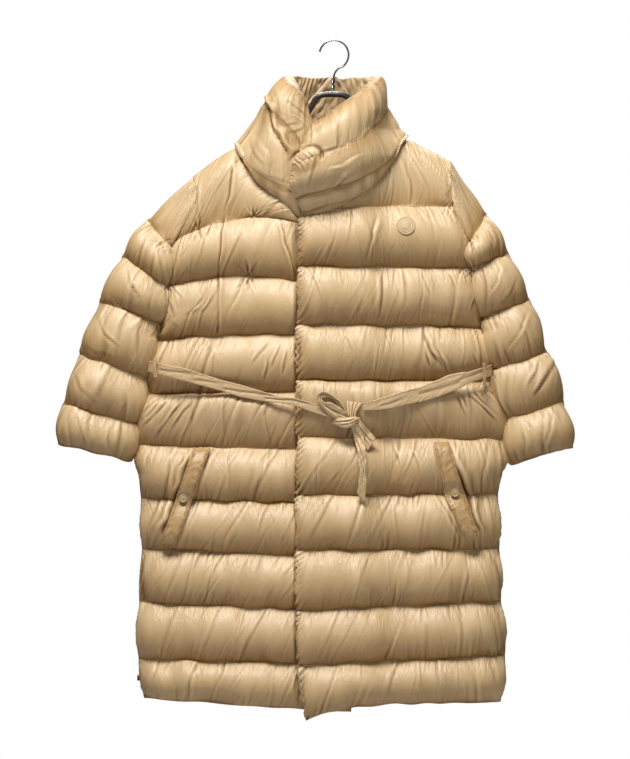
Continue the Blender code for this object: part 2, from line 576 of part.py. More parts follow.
# ---------------------------------------------------------------- sleeves
def sleeve(name, side, seams, armhole, first_index):
    """A sleeve, from the armhole over the shoulder down to the cuff."""
    half = SLEEVE_COLUMNS // 2
    rows = sleeve_rows(seams, armhole, first_index)
    outer_path = np.array([[blend(seams[n].outer.x, seams[n + 1].outer.x, f),
                            blend(seams[n].outer.z, seams[n + 1].outer.z, f)]
                           for n, f, index in rows])
    outer_path[0] = seams[0].outer
    outer_slope = np.gradient(outer_path, axis=0)
    outer_out = unit(np.stack([-outer_slope[:, 1], outer_slope[:, 0]], -1)) * side
    inner = np.zeros((len(rows), SLEEVE_COLUMNS + 1, 3))
    normals = np.zeros_like(inner)
    under_out = np.zeros((len(rows), 3))
    for r, (number, fraction, index) in enumerate(rows):
        depth = blend(seams[number].depth, seams[number + 1].depth, fraction)
        fold = outer_path[r] - outer_out[r] * SIDE_CROWN
        if index is None:
            start, end = seams[number].inner, seams[number + 1].inner
            run = unit(np.array([end.x - start.x, end.z - start.z], float))
            away = np.array([run[1], -run[0]]) * side
            under = np.array([blend(start.x, end.x, fraction), blend(start.z, end.z, fraction)])
            under_out[r] = (away[0], 0, away[1])
            under = under - away * SIDE_CROWN
        for sign in (-1, 1):
            flat = 1.0 if sign < 0 else BACK_FLATNESS
            for step in range(half + 1):
                column = step if sign < 0 else SLEEVE_COLUMNS - step
                turn = pi * step / half
                width = (1 - cos(turn)) / 2
                if index is None:
                    begin = np.array([under[0], sign * SEWN_GAP / 2, under[1]])
                else:
                    begin = armhole.at(sign, index)[0]
                x = blend(begin[0], fold[0], width)
                z = blend(begin[2], fold[1], width)
                rise = max(depth * flat - abs(begin[1]) / 2, 4.0) * sin(turn) ** 0.75
                y = begin[1] * (1 - width) + sign * rise
                inner[r, column] = (x, 0.0 if step == half else y, z)
    for sign in (-1, 1):
        for step in range(half + 1):
            column = step if sign < 0 else SLEEVE_COLUMNS - step
            inner[0, column] = armhole.at(sign, first_index * (1 - step / half))[0]
    inner[0, half, 1] = 0.0
    middle = inner.mean(axis=1, keepdims=True)
    normals = surface_normals(inner, inner - middle)
    thickness = sleeve_thickness(rows, inner.shape[:2])
    for r, (number, fraction, index) in enumerate(rows):
        normals[r, half] = (outer_out[r][0], 0, outer_out[r][1])
        for sign, column in ((-1, 0), (1, -1)):
            if index is None:
                normals[r, column] = under_out[r]
            else:
                follow_armhole(normals, r, column, armhole.at(sign, index)[1])
                thickness[r, column] = armhole.at(sign, index)[2]
    for sign in (-1, 1):
        for step in range(half + 1):
            column = step if sign < 0 else SLEEVE_COLUMNS - step
            spot = armhole.at(sign, first_index * (1 - step / half))
            normals[0, column] = spot[1]
            thickness[0, column] = spot[2]
    shift = np.array([side * SEWN_GAP, 0, 0])
    inner = inner + shift
    outer = inner + normals * thickness[:, :, None]
    wall(name, outer, inner)
    return outer, inner


def sleeve_rows(seams, armhole, first_index):
    """Baffle number, fraction and armhole index of each row, from the cap to the cuff."""
    rows = [(0, 0.0, first_index)]
    number = 0
    start_z = armhole.levels[first_index]
    for index in range(first_index + 1, len(armhole.levels)):
        z = armhole.levels[index]
        end_z = seams[number + 1].inner.z
        rows.append((number, (start_z - z) / (start_z - end_z), index))
        if z <= end_z + 0.5:
            number += 1
            start_z = end_z
    for number in range(number, len(seams) - 1):
        rows += [(number, step, None) for step in BAFFLE_ROWS]
    return rows


def sleeve_thickness(rows, shape):
    """Thickness at each row and column: least at the folds, most on the faces."""
    turn = np.linspace(0, 2 * pi, shape[1])
    face = np.abs(np.sin(turn)) ** 0.6
    thickness = np.zeros(shape)
    for r, (number, fraction, index) in enumerate(rows):
        peak = blend(SIDE_CROWN, YOKE_CROWN if number == 0 else SLEEVE_CROWN, face)
        thickness[r] = STITCHED_WALL + (peak - STITCHED_WALL) * baffle_bulge(fraction)
    thickness[-1] = HEM_ROLL
    return thickness


# ---------------------------------------------------------------- collar
def collar(left_front, back, right_front):
    """One padded band from the left end, round the back, to the right end underneath."""
    base = []
    for grids, picks in ((left_front, range(NECK_COLUMN)),
                         (back, range(BACK_NECK_COLUMNS[1], BACK_NECK_COLUMNS[0] - 1, -1)),
                         (right_front, range(NECK_COLUMN - 1, -1, -1))):
        base += [(grids[0][0, column], grids[1][0, column]) for column in picks]
    stations = COLLAR_LEFT_END + COLLAR_BACK + COLLAR_RIGHT_END
    rows = np.array(COLLAR_ROWS)
    inner = np.zeros((len(rows), len(base), 3))
    outer = np.zeros_like(inner)
    for column, ((base_outer, base_inner), top) in enumerate(zip(base, stations)):
        foot = base_inner.copy()
        if column in (NECK_COLUMN, len(base) - 1 - NECK_COLUMN):
            foot[1] = 0.0
        foot_out = base_outer - base_inner
        away = unit(np.array([(foot[0] + top.x) / 2 - COAT_MIDDLE, (foot[1] + top.y) * 1.2]))
        out = np.array([away[0], away[1], 0.0])
        head = np.array([top.x, top.y, top.z]) - out * COLLAR_EDGE / 2
        belly = (foot + head) / 2 + out * top.lean * 2
        for row, height in enumerate(rows):
            inner[row, column] = ((1 - height) ** 2 * foot + 2 * height * (1 - height) * belly
                                  + height**2 * head)
            thick = collar_thickness(height, top.crown)
            direction = unit(blend(unit(foot_out), out, soft_step(0.0, 0.12, height)))
            outer[row, column] = inner[row, column] + direction * thick
        outer[0, column] = foot + foot_out
    lift = np.array([0.0, 0.0, SEWN_GAP])
    wall("collar", outer + lift, inner + lift)
    return outer + lift, inner + lift


def collar_thickness(height, crown):
    """Three channels: a thin roll at the neck seam and two full ones above it."""
    number = 0
    while number < len(COLLAR_SEAMS) - 2 and height > COLLAR_SEAMS[number + 1]:
        number += 1
    low, high = COLLAR_SEAMS[number], COLLAR_SEAMS[number + 1]
    fraction = (height - low) / (high - low)
    full = crown * (0.4, 1.0, 0.95)[number]
    seam = (STITCHED_WALL, 0.3 * crown, 0.5 * crown)[number]
    after = (0.3 * crown, 0.5 * crown, min(COLLAR_EDGE, 0.7 * crown))[number]
    rest = blend(seam, after, fraction)
    return rest + max(full - rest, 0) * float(baffle_bulge(fraction))


# ---------------------------------------------------------------- what lies on the coat
class Surface:
    """Finds the outermost point of some panels along a straight line."""

    def __init__(self, grids):
        points, triangles = [], []
        for grid in grids:
            triangles += grid_triangles(*grid.shape[:2], start=len(points))
            points += [Vector(point) for point in grid.reshape(-1, 3)]
        self.tree = BVHTree.FromPolygons(points, triangles)

    def hit(self, start, direction):
        place, normal, index, distance = self.tree.ray_cast(Vector(start), Vector(direction))
        if place is None:
            return None
        normal = np.array(normal)
        if normal @ np.array(direction) > 0:
            normal = -normal
        return np.array(place), normal

    def front_y(self, x, z, reach):
        """The foremost y over a small cross of points."""
        found = [self.hit((x + dx, -FAR_OFF, z + dz), (0, 1, 0)) for dx, dz in
                 ((0, 0), (reach, 0), (-reach, 0), (0, reach), (0, -reach),
                  (reach, reach), (-reach, reach), (reach, -reach), (-reach, -reach))]
        return min(spot[0][1] for spot in found if spot)


def disc(name, surface, place, radius, thickness, lift, material="nylon"):
    """A flat round piece, turned to the surface that it lies on."""
    spot, normal = surface.hit((place.x, -FAR_OFF, place.z), (0, 1, 0))
    around = [(place.x + share * radius * cos(turn), -FAR_OFF, place.z + share * radius * sin(turn))
              for turn in np.linspace(0, 2 * pi, 24) for share in (0.35, 0.7, 1.0)]
    highest = max((surface.hit(start, (0, 1, 0))[0] - spot) @ normal for start in around)
    centre = spot + normal * (max(highest, 0) + lift + thickness / 2)
    return round_piece(name, centre, normal, radius, thickness, material)


def round_piece(name, centre, facing, radius, thickness, material="nylon"):
    shape = bmesh.new()
    bmesh.ops.create_cone(shape, cap_ends=True, segments=20, radius1=radius * MM,
                          radius2=0.92 * radius * MM, depth=thickness * MM)
    mesh = bpy.data.meshes.new(name)
    shape.to_mesh(mesh)
    shape.free()
    part = add_object(name, mesh, material)
    part.location = Vector(centre) * MM
    part.rotation_euler = Vector(facing).to_track_quat("Z", "Y").to_euler()
    return part


def ribbon(name, middle, width_way, facing, width, thickness, material="nylon"):
    """A flat band along its middle line, a little thicker there than at its edges."""
    shares = np.array([-0.5, -0.25, 0.25, 0.5])
    swell = np.array([0.35, 0.5, 0.5, 0.35])
    width = np.broadcast_to(width, len(middle))
    spread = middle[:, None] + width_way[:, None] * (shares * width[:, None])[:, :, None]
    bulge = facing[:, None] * (swell * thickness)[None, :, None]
    wall(name, spread + bulge, spread - bulge, material)


def welt(name, surface, table):
    """A padded strip that lies slanted over the pocket's opening."""
    heights = np.arange(table[0].z, table[-1].z - 0.1, -WELT_STEP)
    shares = np.linspace(0, 1, 6)
    near = along(table, heights, value="near")
    far = along(table, heights, value="far")
    x = blend(near[:, None], far[:, None], shares)
    z = np.repeat(heights[:, None], len(shares), axis=1)
    found = [surface.front_y(px, pz, WELT_STEP) for px, pz in zip(x.ravel(), z.ravel())]
    y = bridge(np.reshape(found, x.shape)) - WELT_CLEARANCE
    ends = np.minimum(heights[0] - z, z - heights[-1]) / 20
    swell = np.minimum(1.0, 0.35 + ends) * (1 - (2 * shares - 1) ** 4)
    swell = WELT_EDGE + (WELT_THICKNESS - WELT_EDGE) * swell
    inner = np.stack([x, y, z], -1)
    outer = np.stack([x, y - swell, z], -1)
    wall(name, outer, inner)
    return outer


def bridge(depths, reach=3):
    """Foremost, then average, over neighbouring rows: a firm strip spans the valleys."""
    rows = np.arange(len(depths))
    for pick in (np.min, np.mean):
        depths = np.array([pick(depths[max(row - reach, 0):row + reach + 1], axis=0)
                           for row in rows])
    return depths


def belt_ring(body):
    """Middle line of the belt round the coat, its facing, and where the sides are."""
    left_end, right_end = BELT_ENDS
    stations = []
    for x in np.arange(left_end, right_end, -BELT_STEP):
        stations.append(((x, -1), (0.0, -1.0)))
    for turn in np.linspace(0, pi, BELT_TURNS):
        stations.append(((right_end, 0), (-sin(turn), -cos(turn))))
    for x in np.arange(right_end + BELT_STEP, left_end, BELT_STEP):
        stations.append(((x, 1), (0.0, 1.0)))
    for turn in np.linspace(pi, 0, BELT_TURNS)[:-1]:
        stations.append(((left_end, 0), (sin(turn), -cos(turn))))
    reaches, centres, ways = [], [], []
    for (x, face), (way_x, way_y) in stations:
        way = np.array([way_x, way_y, 0.0])
        z = belt_height(x, way)
        found = []
        for rise in np.linspace(-0.5, 0.5, 5) * (BELT_WIDTH + 6):
            start = np.array([x, SIDE_SEAM_MISS, z + rise]) + way * FAR_OFF
            spot = body.hit(start, -way)
            if spot:
                found.append(FAR_OFF - np.linalg.norm(spot[0] - start))
        reaches.append(max(found))
        centres.append((x, 0, z))
        ways.append(way)
    reaches = np.array(reaches)
    for pick in (np.max, np.mean):     # a taut belt spans the valleys
        reaches = pick([np.roll(reaches, shift) for shift in (-2, -1, 0, 1, 2)], axis=0)
    reaches += BELT_CLEARANCE + BELT_THICKNESS / 2
    centres, ways = np.array(centres), np.array(ways)
    return centres + ways * reaches[:, None], ways


def belt_height(x, way):
    """Height of the belt: it dips to the knot in front and is level behind."""
    front = along(BELT_LEVELS, np.clip(x + way[0] * 60, -330, 300), "x", "z")
    return float(blend(BELT_BACK_LEVEL, front, soft_step(0.2, -0.6, way[1])))


def belt(body):
    ring, ways = belt_ring(body)
    tangent = unit(np.roll(ring, -1, axis=0) - np.roll(ring, 1, axis=0))
    upright = unit(np.array([0, 0, 1.0]) - tangent * tangent[:, 2:3])
    behind = ways[:, 1] > 0.05
    front = ways[:, 1] < -0.05
    knot_half = KNOT_SIZE[0] / 2 + 4
    stretches = {"belt_back": behind,
                 "belt_front_left": front & (ring[:, 0] > KNOT.x + knot_half),
                 "belt_front_right": front & (ring[:, 0] < KNOT.x - knot_half)}
    for name, chosen in stretches.items():
        picks = np.nonzero(chosen)[0]
        breaks = np.nonzero(np.diff(picks) > 1)[0]
        if len(breaks):
            picks = np.roll(picks, -(breaks[0] + 1))
        ribbon(name, ring[picks], upright[picks], ways[picks], BELT_WIDTH, BELT_THICKNESS)
    return ring, ways


def knot_and_ends(body):
    """The knot, its bow and its two hanging ends."""
    deepest = min(body.front_y(KNOT.x + dx, KNOT.z + dz, 4) for dx in (-20, 0, 20)
                  for dz in (-14, 0, 14))
    knot_y = deepest - 4 - KNOT_SIZE[1] / 2
    shape = bmesh.new()
    bmesh.ops.create_uvsphere(shape, u_segments=16, v_segments=10, radius=0.5)
    bmesh.ops.scale(shape, vec=Vector(KNOT_SIZE) * MM, verts=shape.verts)
    mesh = bpy.data.meshes.new("belt_knot")
    shape.to_mesh(mesh)
    shape.free()
    knot = add_object("belt_knot", mesh, "nylon")
    knot.location = Vector((KNOT.x, knot_y, KNOT.z)) * MM
    knot.rotation_euler = (0, radians(8), 0)
    bow(body)
    tail("belt_tail_short", body, (Place(46, -716), Place(60, -728), Place(72, -742)), 20.0)
    tail("belt_tail_long", body, (Place(36, -728), Place(44, -752), Place(50, -778),
                                  Place(53, -810), Place(55, -838), Place(56, -850)), 14.0)


def bow(body):
    """A flattened loop of belt that leans up and towards the right front."""
    reach = BOW_TIP[0] - BOW_FOOT[0], BOW_TIP[1] - BOW_FOOT[1]
    along_bow = unit(np.array([reach[0], 0.0, reach[1]]))
    beside = np.array([along_bow[2], 0.0, -along_bow[0]])
    base = min(body.front_y(x, z, 8) for x, z in (BOW_FOOT, BOW_TIP)) - 16
    width_way = unit(np.array([0, -0.85, 0]) - 0.5 * beside)
    middle = []
    for step in np.linspace(0, 1, 19):
        share = sin(pi * step)
        aside = -3.5 * cos(pi * step) - BOW_OPEN * sin(2 * pi * step)
        point = (np.array([BOW_FOOT[0], base, BOW_FOOT[1]])
                 + np.array([reach[0], 0.0, reach[1]]) * share - beside * aside)
        middle.append(point)
    middle = np.array(middle)
    tangent = unit(np.gradient(middle, axis=0))
    width_way = np.broadcast_to(width_way, middle.shape)
    facing = unit(np.cross(tangent, width_way))
    ribbon("belt_bow", middle, width_way, facing, BOW_WIDTH, BELT_THICKNESS)


def tail(name, body, places, width):
    lengths = np.cumsum([0.0] + [np.hypot(b.x - a.x, b.z - a.z)
                                 for a, b in zip(places, places[1:])])
    at = np.arange(0, lengths[-1] + 0.1, lengths[-1] / round(lengths[-1] / 9))
    x = np.interp(at, lengths, [place.x for place in places])
    z = np.interp(at, lengths, [place.z for place in places])
    y = np.array([body.front_y(px, pz, width / 2 + 3) for px, pz in zip(x, z)])
    y = np.minimum(y, np.minimum(np.roll(y, 1), np.roll(y, -1)))
    y = y - 2.0 - BELT_THICKNESS / 2 - 4.0 * np.exp(-at / 12)
    middle = np.stack([x, y, z], -1)
    tangent = unit(np.gradient(middle, axis=0))
    facing = np.broadcast_to([0.0, -1.0, 0.0], middle.shape)
    across = unit(np.cross(tangent, facing))
    facing = unit(np.cross(across, tangent))
    ribbon(name, middle, across, facing, width, BELT_THICKNESS)


def belt_loops(ring, ways):
    """A narrow upright strap over the belt at each side seam, and the left one's stud."""
    for name, side, low in (("belt_loop_left", 1, -38.0), ("belt_loop_right", -1, -17.0)):
        spot = int(np.argmin(np.abs(ways[:, 0] - side * LOOP_TURN) + 10 * (ways[:, 1] > 0)))
        out = ways[spot]
        off = BELT_THICKNESS / 2 + LOOP_LIFT
        middle = np.array([ring[spot] + out * off + np.array([0, 0, rise])
                           for rise in np.linspace(17.0, low, 10)])
        across = np.broadcast_to(unit(np.cross([0, 0, 1.0], out)), middle.shape)
        facing = np.broadcast_to(out, middle.shape)
        ribbon(name, middle, across, facing, LOOP_WIDTH, LOOP_THICKNESS)
        if side > 0:
            centre = middle[-1] + out * (LOOP_THICKNESS / 2 + SNAP_THICKNESS / 2 + 0.5)
            round_piece("side_stud", centre + np.array([0, 0, 8.0]), out, SNAP_RADIUS,
                        SNAP_THICKNESS)


def hem_tag(right_front):
    outer = right_front[0]
    row = int(np.argmin(np.abs(outer[:, -1, 2] - TAG_HEIGHT)))
    place = outer[row, -1] + np.array([-TAG_SIZE[0] / 2 - SEWN_GAP, 3.0, 0])
    bpy.ops.mesh.primitive_cube_add(size=MM, location=Vector(place) * MM)
    part = bpy.context.object
    part.name = part.data.name = "hem_tag"
    part.scale = TAG_SIZE
    bpy.ops.object.transform_apply(location=False, rotation=False, scale=True)
    part.data.materials.append(make_material("black_tag"))
    for group in list(part.users_collection):
        group.objects.unlink(part)
    bpy.data.collections["puffer_coat"].objects.link(part)


# ---------------------------------------------------------------- hanger
def tube(name, places, radius, material, resolution=2):
    """A round bar along a smooth curve through places in the XZ plane."""
    curve = bpy.data.curves.new(name, "CURVE")
    curve.dimensions = "3D"
    curve.bevel_depth = radius * MM
    curve.bevel_resolution = resolution
    curve.use_fill_caps = True
    spline = curve.splines.new("POLY")
    spline.points.add(len(places) - 1)
    for point, (x, y, z) in zip(spline.points, places):
        point.co = (x * MM, y * MM, z * MM, 1)
    part = bpy.data.objects.new(name, curve)
    bpy.data.collections["puffer_coat"].objects.link(part)
    curve.materials.append(make_material(material))
    return part


def smooth_path(places, steps):
    """More points along a curve through the places, which turn gently between them."""
    points = np.array([(place.x, place.z) for place in places], float)
    length = np.concatenate([[0], np.cumsum(np.linalg.norm(np.diff(points, axis=0), axis=1))])
    Knot = namedtuple("Knot", "at x z")
    table = [Knot(at, x, z) for at, (x, z) in zip(length, points)]
    at = np.linspace(0, length[-1], steps)
    return list(zip(along(table, at, "at", "x"), along(table, at, "at", "z")))


def hanger():
    arms = smooth_path(ARMS, 40)
    tube("hanger_arms", [(x, 0, z) for x, z in arms], ARM_RADIUS, "black_plastic")
    turns = np.radians(np.arange(170, -56, -15))
    hook = [(HOOK_CENTRE.x + HOOK_RADIUS * cos(turn), HOOK_CENTRE.z + HOOK_RADIUS * sin(turn))
            for turn in turns]
    stem = [(place.x, place.z) for place in STEM]
    tube("hanger_hook", [(x, 0, z) for x, z in hook + stem], WIRE_RADIUS, "steel")


def hanging_loop():
    """A narrow strap from the back of the neck up to the stem, and down behind it."""
    places = np.array([(-46, 18, -114), (-34, 14, -100), (-20, 10, -84), (-8, 6, -71),
                       (0, 4.5, -66), (8, 8, -70), (18, 14, -82), (28, 20, -98)], float)
    tangent = unit(np.gradient(places, axis=0))
    facing = unit(np.cross(tangent, [0, 0.6, 0.8]) * -1)
    facing = np.where(facing[:, 1:2] > 0, -facing, facing)
    across = unit(np.cross(tangent, facing))
    ribbon("hanging_loop", places, across, facing, 6.0, 1.6)


# ---------------------------------------------------------------- the whole object
def build():
    clear_scene()
    group = bpy.data.collections.new("puffer_coat")
    bpy.context.scene.collection.children.link(group)
    left_armhole = Armhole(LEFT_ARMHOLE, LEFT_SHOULDER)
    right_armhole = Armhole(RIGHT_ARMHOLE, RIGHT_SHOULDER)
    left_front = front_panel("front_left", 1, LEFT_SEAMS, LEFT_OPEN_EDGE, LEFT_NECK,
                             LEFT_SHOULDER, LEFT_SIDE, left_armhole, lapped=False)
    right_front = front_panel("front_right", -1, RIGHT_SEAMS, RIGHT_OPEN_EDGE, RIGHT_NECK,
                              RIGHT_SHOULDER, RIGHT_SIDE, right_armhole, lapped=True)
    back = back_panel(left_armhole, right_armhole)
    sleeve("sleeve_left", 1, LEFT_SLEEVE, left_armhole, 2)
    sleeve("sleeve_right", -1, RIGHT_SLEEVE, right_armhole, 2)
    collar(left_front, back, right_front)
    body = Surface([left_front[0], right_front[0], back[0]])
    left_welt = welt("pocket_welt_left", body, LEFT_WELT)
    right_welt = welt("pocket_welt_right", body, RIGHT_WELT)
    dressed = Surface([left_front[0], right_front[0], left_welt, right_welt])
    disc("pocket_snap_left", dressed, LEFT_SNAP, SNAP_RADIUS, SNAP_THICKNESS, 0.6)
    disc("pocket_snap_right", dressed, RIGHT_SNAP, SNAP_RADIUS, SNAP_THICKNESS, 0.6)
    disc("chest_patch", body, PATCH, PATCH_RADIUS, PATCH_THICKNESS, 0.4)
    ring, ways = belt(body)
    knot_and_ends(body)
    belt_loops(ring, ways)
    hem_tag(right_front)
    hanging_loop()
    hanger()


build()
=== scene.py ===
"""Looks of a long quilted puffer coat on a wire-hook hanger.

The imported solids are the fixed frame, and a finer piece on the same planform stands for each.
A padded piece is a grid of points that swells into baffles between its quilting seams, over a
plainer inside.  The creases that gather its cloth are placed here and added as displacement;
nothing is simulated.  Sizes are in millimetres until the points become a mesh, which is in
metres.  +Z is up, the front looks along -Y, and the wearer's left is at +X.  A pixel is one of
the photograph's.
"""
from collections import namedtuple
from math import cos, pi, radians, sin

import bmesh
import bpy
import numpy as np
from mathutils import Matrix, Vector
from mathutils.bvhtree import BVHTree


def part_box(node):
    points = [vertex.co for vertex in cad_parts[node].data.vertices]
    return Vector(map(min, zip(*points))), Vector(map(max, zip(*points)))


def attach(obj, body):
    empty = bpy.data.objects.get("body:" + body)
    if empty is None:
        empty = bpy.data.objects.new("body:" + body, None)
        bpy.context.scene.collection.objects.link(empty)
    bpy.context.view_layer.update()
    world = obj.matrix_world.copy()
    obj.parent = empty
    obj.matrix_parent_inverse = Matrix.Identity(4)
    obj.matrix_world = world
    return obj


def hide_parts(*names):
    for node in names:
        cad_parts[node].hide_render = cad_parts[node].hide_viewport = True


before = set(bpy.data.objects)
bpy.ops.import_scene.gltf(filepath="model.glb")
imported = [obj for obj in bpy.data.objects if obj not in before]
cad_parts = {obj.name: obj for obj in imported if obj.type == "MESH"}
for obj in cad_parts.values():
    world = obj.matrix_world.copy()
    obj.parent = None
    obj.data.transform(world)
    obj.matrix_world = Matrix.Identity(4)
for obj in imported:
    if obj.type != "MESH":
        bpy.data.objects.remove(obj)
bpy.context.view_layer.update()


def rows(kind, *values):
    """A table whose rows are all of one kind."""
    return tuple(kind(*row) for row in values)


# ---------------------------------------------------------------- camera
# the photograph is 630 x 759 pixels, and 1.85 mm a pixel at the coat's middle plane
MM = 0.001
PIXEL = 1.85 * MM
PHOTO_WIDTH, PHOTO_HEIGHT = 630, 759
HOOK_PIXEL_X, HOOK_PIXEL_Y = 333.2, 41.2      # where the photograph shows the hook's top
LENS, SENSOR = 200.0, 36.0
VIEW_DISTANCE = PHOTO_HEIGHT * PIXEL * LENS / SENSOR
CLIP_START, CLIP_END = 0.05, 60.0


def add_camera():
    data = bpy.data.cameras.new("camera")
    data.lens, data.sensor_width = LENS, SENSOR
    data.clip_start, data.clip_end = CLIP_START, CLIP_END
    camera = bpy.data.objects.new("camera", data)
    bpy.context.scene.collection.objects.link(camera)
    x = (PHOTO_WIDTH / 2 - HOOK_PIXEL_X) * PIXEL
    z = (HOOK_PIXEL_Y - PHOTO_HEIGHT / 2) * PIXEL
    camera.location = (x, -VIEW_DISTANCE, z)
    camera.rotation_euler = (pi / 2, 0, 0)
    bpy.context.scene.camera = camera


def on_coat(px, py):
    """x and z, in mm, of a pixel at the coat's middle plane."""
    return (px - HOOK_PIXEL_X) * PIXEL / MM, (HOOK_PIXEL_Y - py) * PIXEL / MM


def pixel_size(y):
    """Millimetres that a pixel covers at depth y."""
    return PIXEL / MM * (VIEW_DISTANCE / MM + y) / (VIEW_DISTANCE / MM)


def seen(px, py, y):
    """x and z, in mm, of what the photograph shows at a pixel, at depth y."""
    scale = pixel_size(y)
    middle_x, middle_z = on_coat(PHOTO_WIDTH / 2, PHOTO_HEIGHT / 2)
    return middle_x + (px - PHOTO_WIDTH / 2) * scale, middle_z - (py - PHOTO_HEIGHT / 2) * scale


# ---------------------------------------------------------------- the coat's sizes, mm
SEWN_GAP = 0.3            # between two pieces sewn together
COAT_MIDDLE = -24.0
STITCHED_WALL = 4.0       # a padded piece's thickness along a quilting seam
FRONT_CROWN, BACK_CROWN, YOKE_CROWN, SLEEVE_CROWN = 29.0, 27.0, 17.0, 25.0     # and at its fullest
SIDE_CROWN, EDGE_CROWN, LAPPED_CROWN = 11.0, 7.0, 12.0
LAPPED_FROM, LAPPED_BLEND = -62.0, 12.0       # where the lapped front gets thin
LAPPED_NECK_DROP = 14.0
LAP_LIFT, LAP_START, LAP_END = 16.0, 42.0, 112.0
BACK_FLATNESS = 0.8
SHOULDER_ROUND = 130.0
NECK_DEPTH, ARMHOLE_DEPTH = 56.0, 30.0
HEM_ROLL = 8.0

HollowAt = namedtuple("HollowAt", "z depth")
HOLLOW = rows(
    HollowAt, (-200, 34), (-420, 38), (-690, 32), (-850, 38), (-1260, 42))

# quilting seams: height at the open edge and at the side, arch between, drop at the edge
Seam = namedtuple("Seam", "inner outer arch drop")
LEFT_SEAMS = rows(
    Seam, (-307, -307, 0, 22), (-418, -420, 0, 0), (-525, -528, 0, 0), (-627, -630, 0, 0),
    (-732, -736, 0, 0), (-838, -838, 0, 0), (-939, -939, 0, 0), (-1050, -1036, 0, 0),
    (-1150, -1136, 0, 0), (-1222, -1222, 0, 30))
RIGHT_SEAMS = rows(
    Seam, (-376, -379, 50, 0), (-470, -455, 26, 0), (-552, -556, 12, 0), (-648, -653, 0, 0),
    (-757, -747, 0, 0), (-857, -845, 0, 0), (-953, -939, 0, 0), (-1053, -1037, 0, 0),
    (-1150, -1141, 0, 0), (-1237, -1215, 0, 0))
BACK_SEAMS = rows(
    Seam, (-338, -324, 0, 0), (-455, -420, 0, 0), (-556, -528, 0, 0), (-653, -630, 0, 0),
    (-747, -736, 0, 0), (-845, -838, 0, 0), (-939, -939, 0, 0), (-1037, -1036, 0, 0),
    (-1141, -1136, 0, 0), (-1215, -1222, 0, 0))

Place = namedtuple("Place", "x z")
LEFT_OPEN_EDGE = rows(
    Place, (-61, -313), (-66, -470), (-67, -700), (-69, -960), (-61, -1200), (-53, -1252))
RIGHT_OPEN_EDGE = rows(
    Place, (27, -353), (30, -700), (33, -1240))
LEFT_NECK = rows(
    Place, (-61, -313), (-10, -299), (29, -289), (70, -262), (100, -233), (124, -200), (136, -186))
RIGHT_NECK = rows(
    Place, (27, -353), (-13, -346), (-54, -329), (-78, -304), (-107, -283), (-134, -262),
    (-165, -229), (-179, -199))
BACK_NECK = rows(
    Place, (-179, -199), (-150, -190), (-80, -184), (-20, -182), (60, -182), (110, -184),
    (136, -186))
LEFT_SHOULDER = rows(
    Place, (136, -186), (179, -203), (214, -223))
RIGHT_SHOULDER = rows(
    Place, (-179, -199), (-221, -222), (-254, -249))
LEFT_SIDE = rows(
    Place, (276, -512), (281, -545), (281, -600), (286, -640), (310, -692), (314, -738),
    (305, -849), (307, -914), (310, -1023), (318, -1136), (310, -1222))
RIGHT_SIDE = rows(
    Place, (-322, -520), (-327, -556), (-332, -600), (-338, -650), (-353, -706), (-358, -751),
    (-356, -843), (-354, -941), (-359, -1037), (-360, -1145), (-350, -1215))

ArmholeAt = namedtuple("ArmholeAt", "z front_x back_x")
LEFT_ARMHOLE = rows(
    ArmholeAt, (-223, 214, 214), (-238, 215, 216), (-268, 217, 220), (-295, 219, 224),
    (-307, 221, 226), (-324, 228, 230), (-350, 242, 236), (-373, 253, 242), (-386, 254, 246),
    (-400, 255, 250), (-420, 257, 254), (-436, 261, 258), (-470, 269, 266), (-496, 273, 272),
    (-512, 275, 275))
RIGHT_ARMHOLE = rows(
    ArmholeAt, (-249, -254, -254), (-265, -253, -256), (-290, -252, -260), (-315, -256, -265),
    (-338, -269, -270), (-358, -287, -275), (-379, -302, -281), (-395, -307, -286),
    (-417, -306, -291), (-440, -306, -296), (-455, -307, -300), (-470, -309, -305),
    (-488, -312, -311), (-508, -318, -318), (-520, -322, -322))

# a sleeve's seams: their ends on its outer fold and under the arm, and half the sleeve's depth
SleeveSeam = namedtuple("SleeveSeam", "fold_x fold_z under_x under_z depth")
LEFT_SLEEVE = rows(
    SleeveSeam, (214, -223, 214, -223, 0), (282, -318, 253, -373, 30), (325, -392, 257, -420, 30),
    (364, -478, 275, -512, 28), (397, -575, 295, -610, 26), (427, -666, 320, -701, 24),
    (444, -751, 331, -783, 22))
RIGHT_SLEEVE = rows(
    SleeveSeam, (-254, -249, -254, -249, 0), (-342, -330, -302, -379, 30),
    (-391, -397, -307, -455, 30), (-433, -481, -322, -520, 28), (-469, -579, -347, -625, 26),
    (-501, -671, -364, -710, 24), (-509, -747, -380, -778, 22))
FIRST_SLEEVE_LEVEL = 2    # the armhole's level down to which the sleeve's top edge runs

CollarAt = namedtuple("CollarAt", "x y z lean crown")
COLLAR_STATIONS = rows(
    CollarAt, (-54, -82, -180, 12, 20), (-43, -84, -165, 15, 27), (-14, -80, -142, 17, 31),
    (24, -70, -116, 16, 32), (58, -44, -88, 6, 31), (82, 0, -66, -22, 30), (62, 24, -66, -8, 26),
    (34, 34, -66, 4, 22), (0, 38, -66, 6, 22), (-34, 34, -66, 4, 22), (-62, 24, -65, -8, 26),
    (-80, 0, -65, -18, 30), (-68, -30, -84, 8, 32), (-53, -44, -110, 4, 15), (-41, -46, -142, 1, 9),
    (-26, -46, -170, 0, 8), (-12, -48, -190, 0, 7))
COLLAR_SEAMS = (0.0, 0.13, 0.56, 1.0)         # as shares of the collar's height
COLLAR_EDGE = 16.0
LINING_SEED, LINING_PITCH, LINING_DEPTH = 4, 10.0, 3.2     # crinkles inside the collar
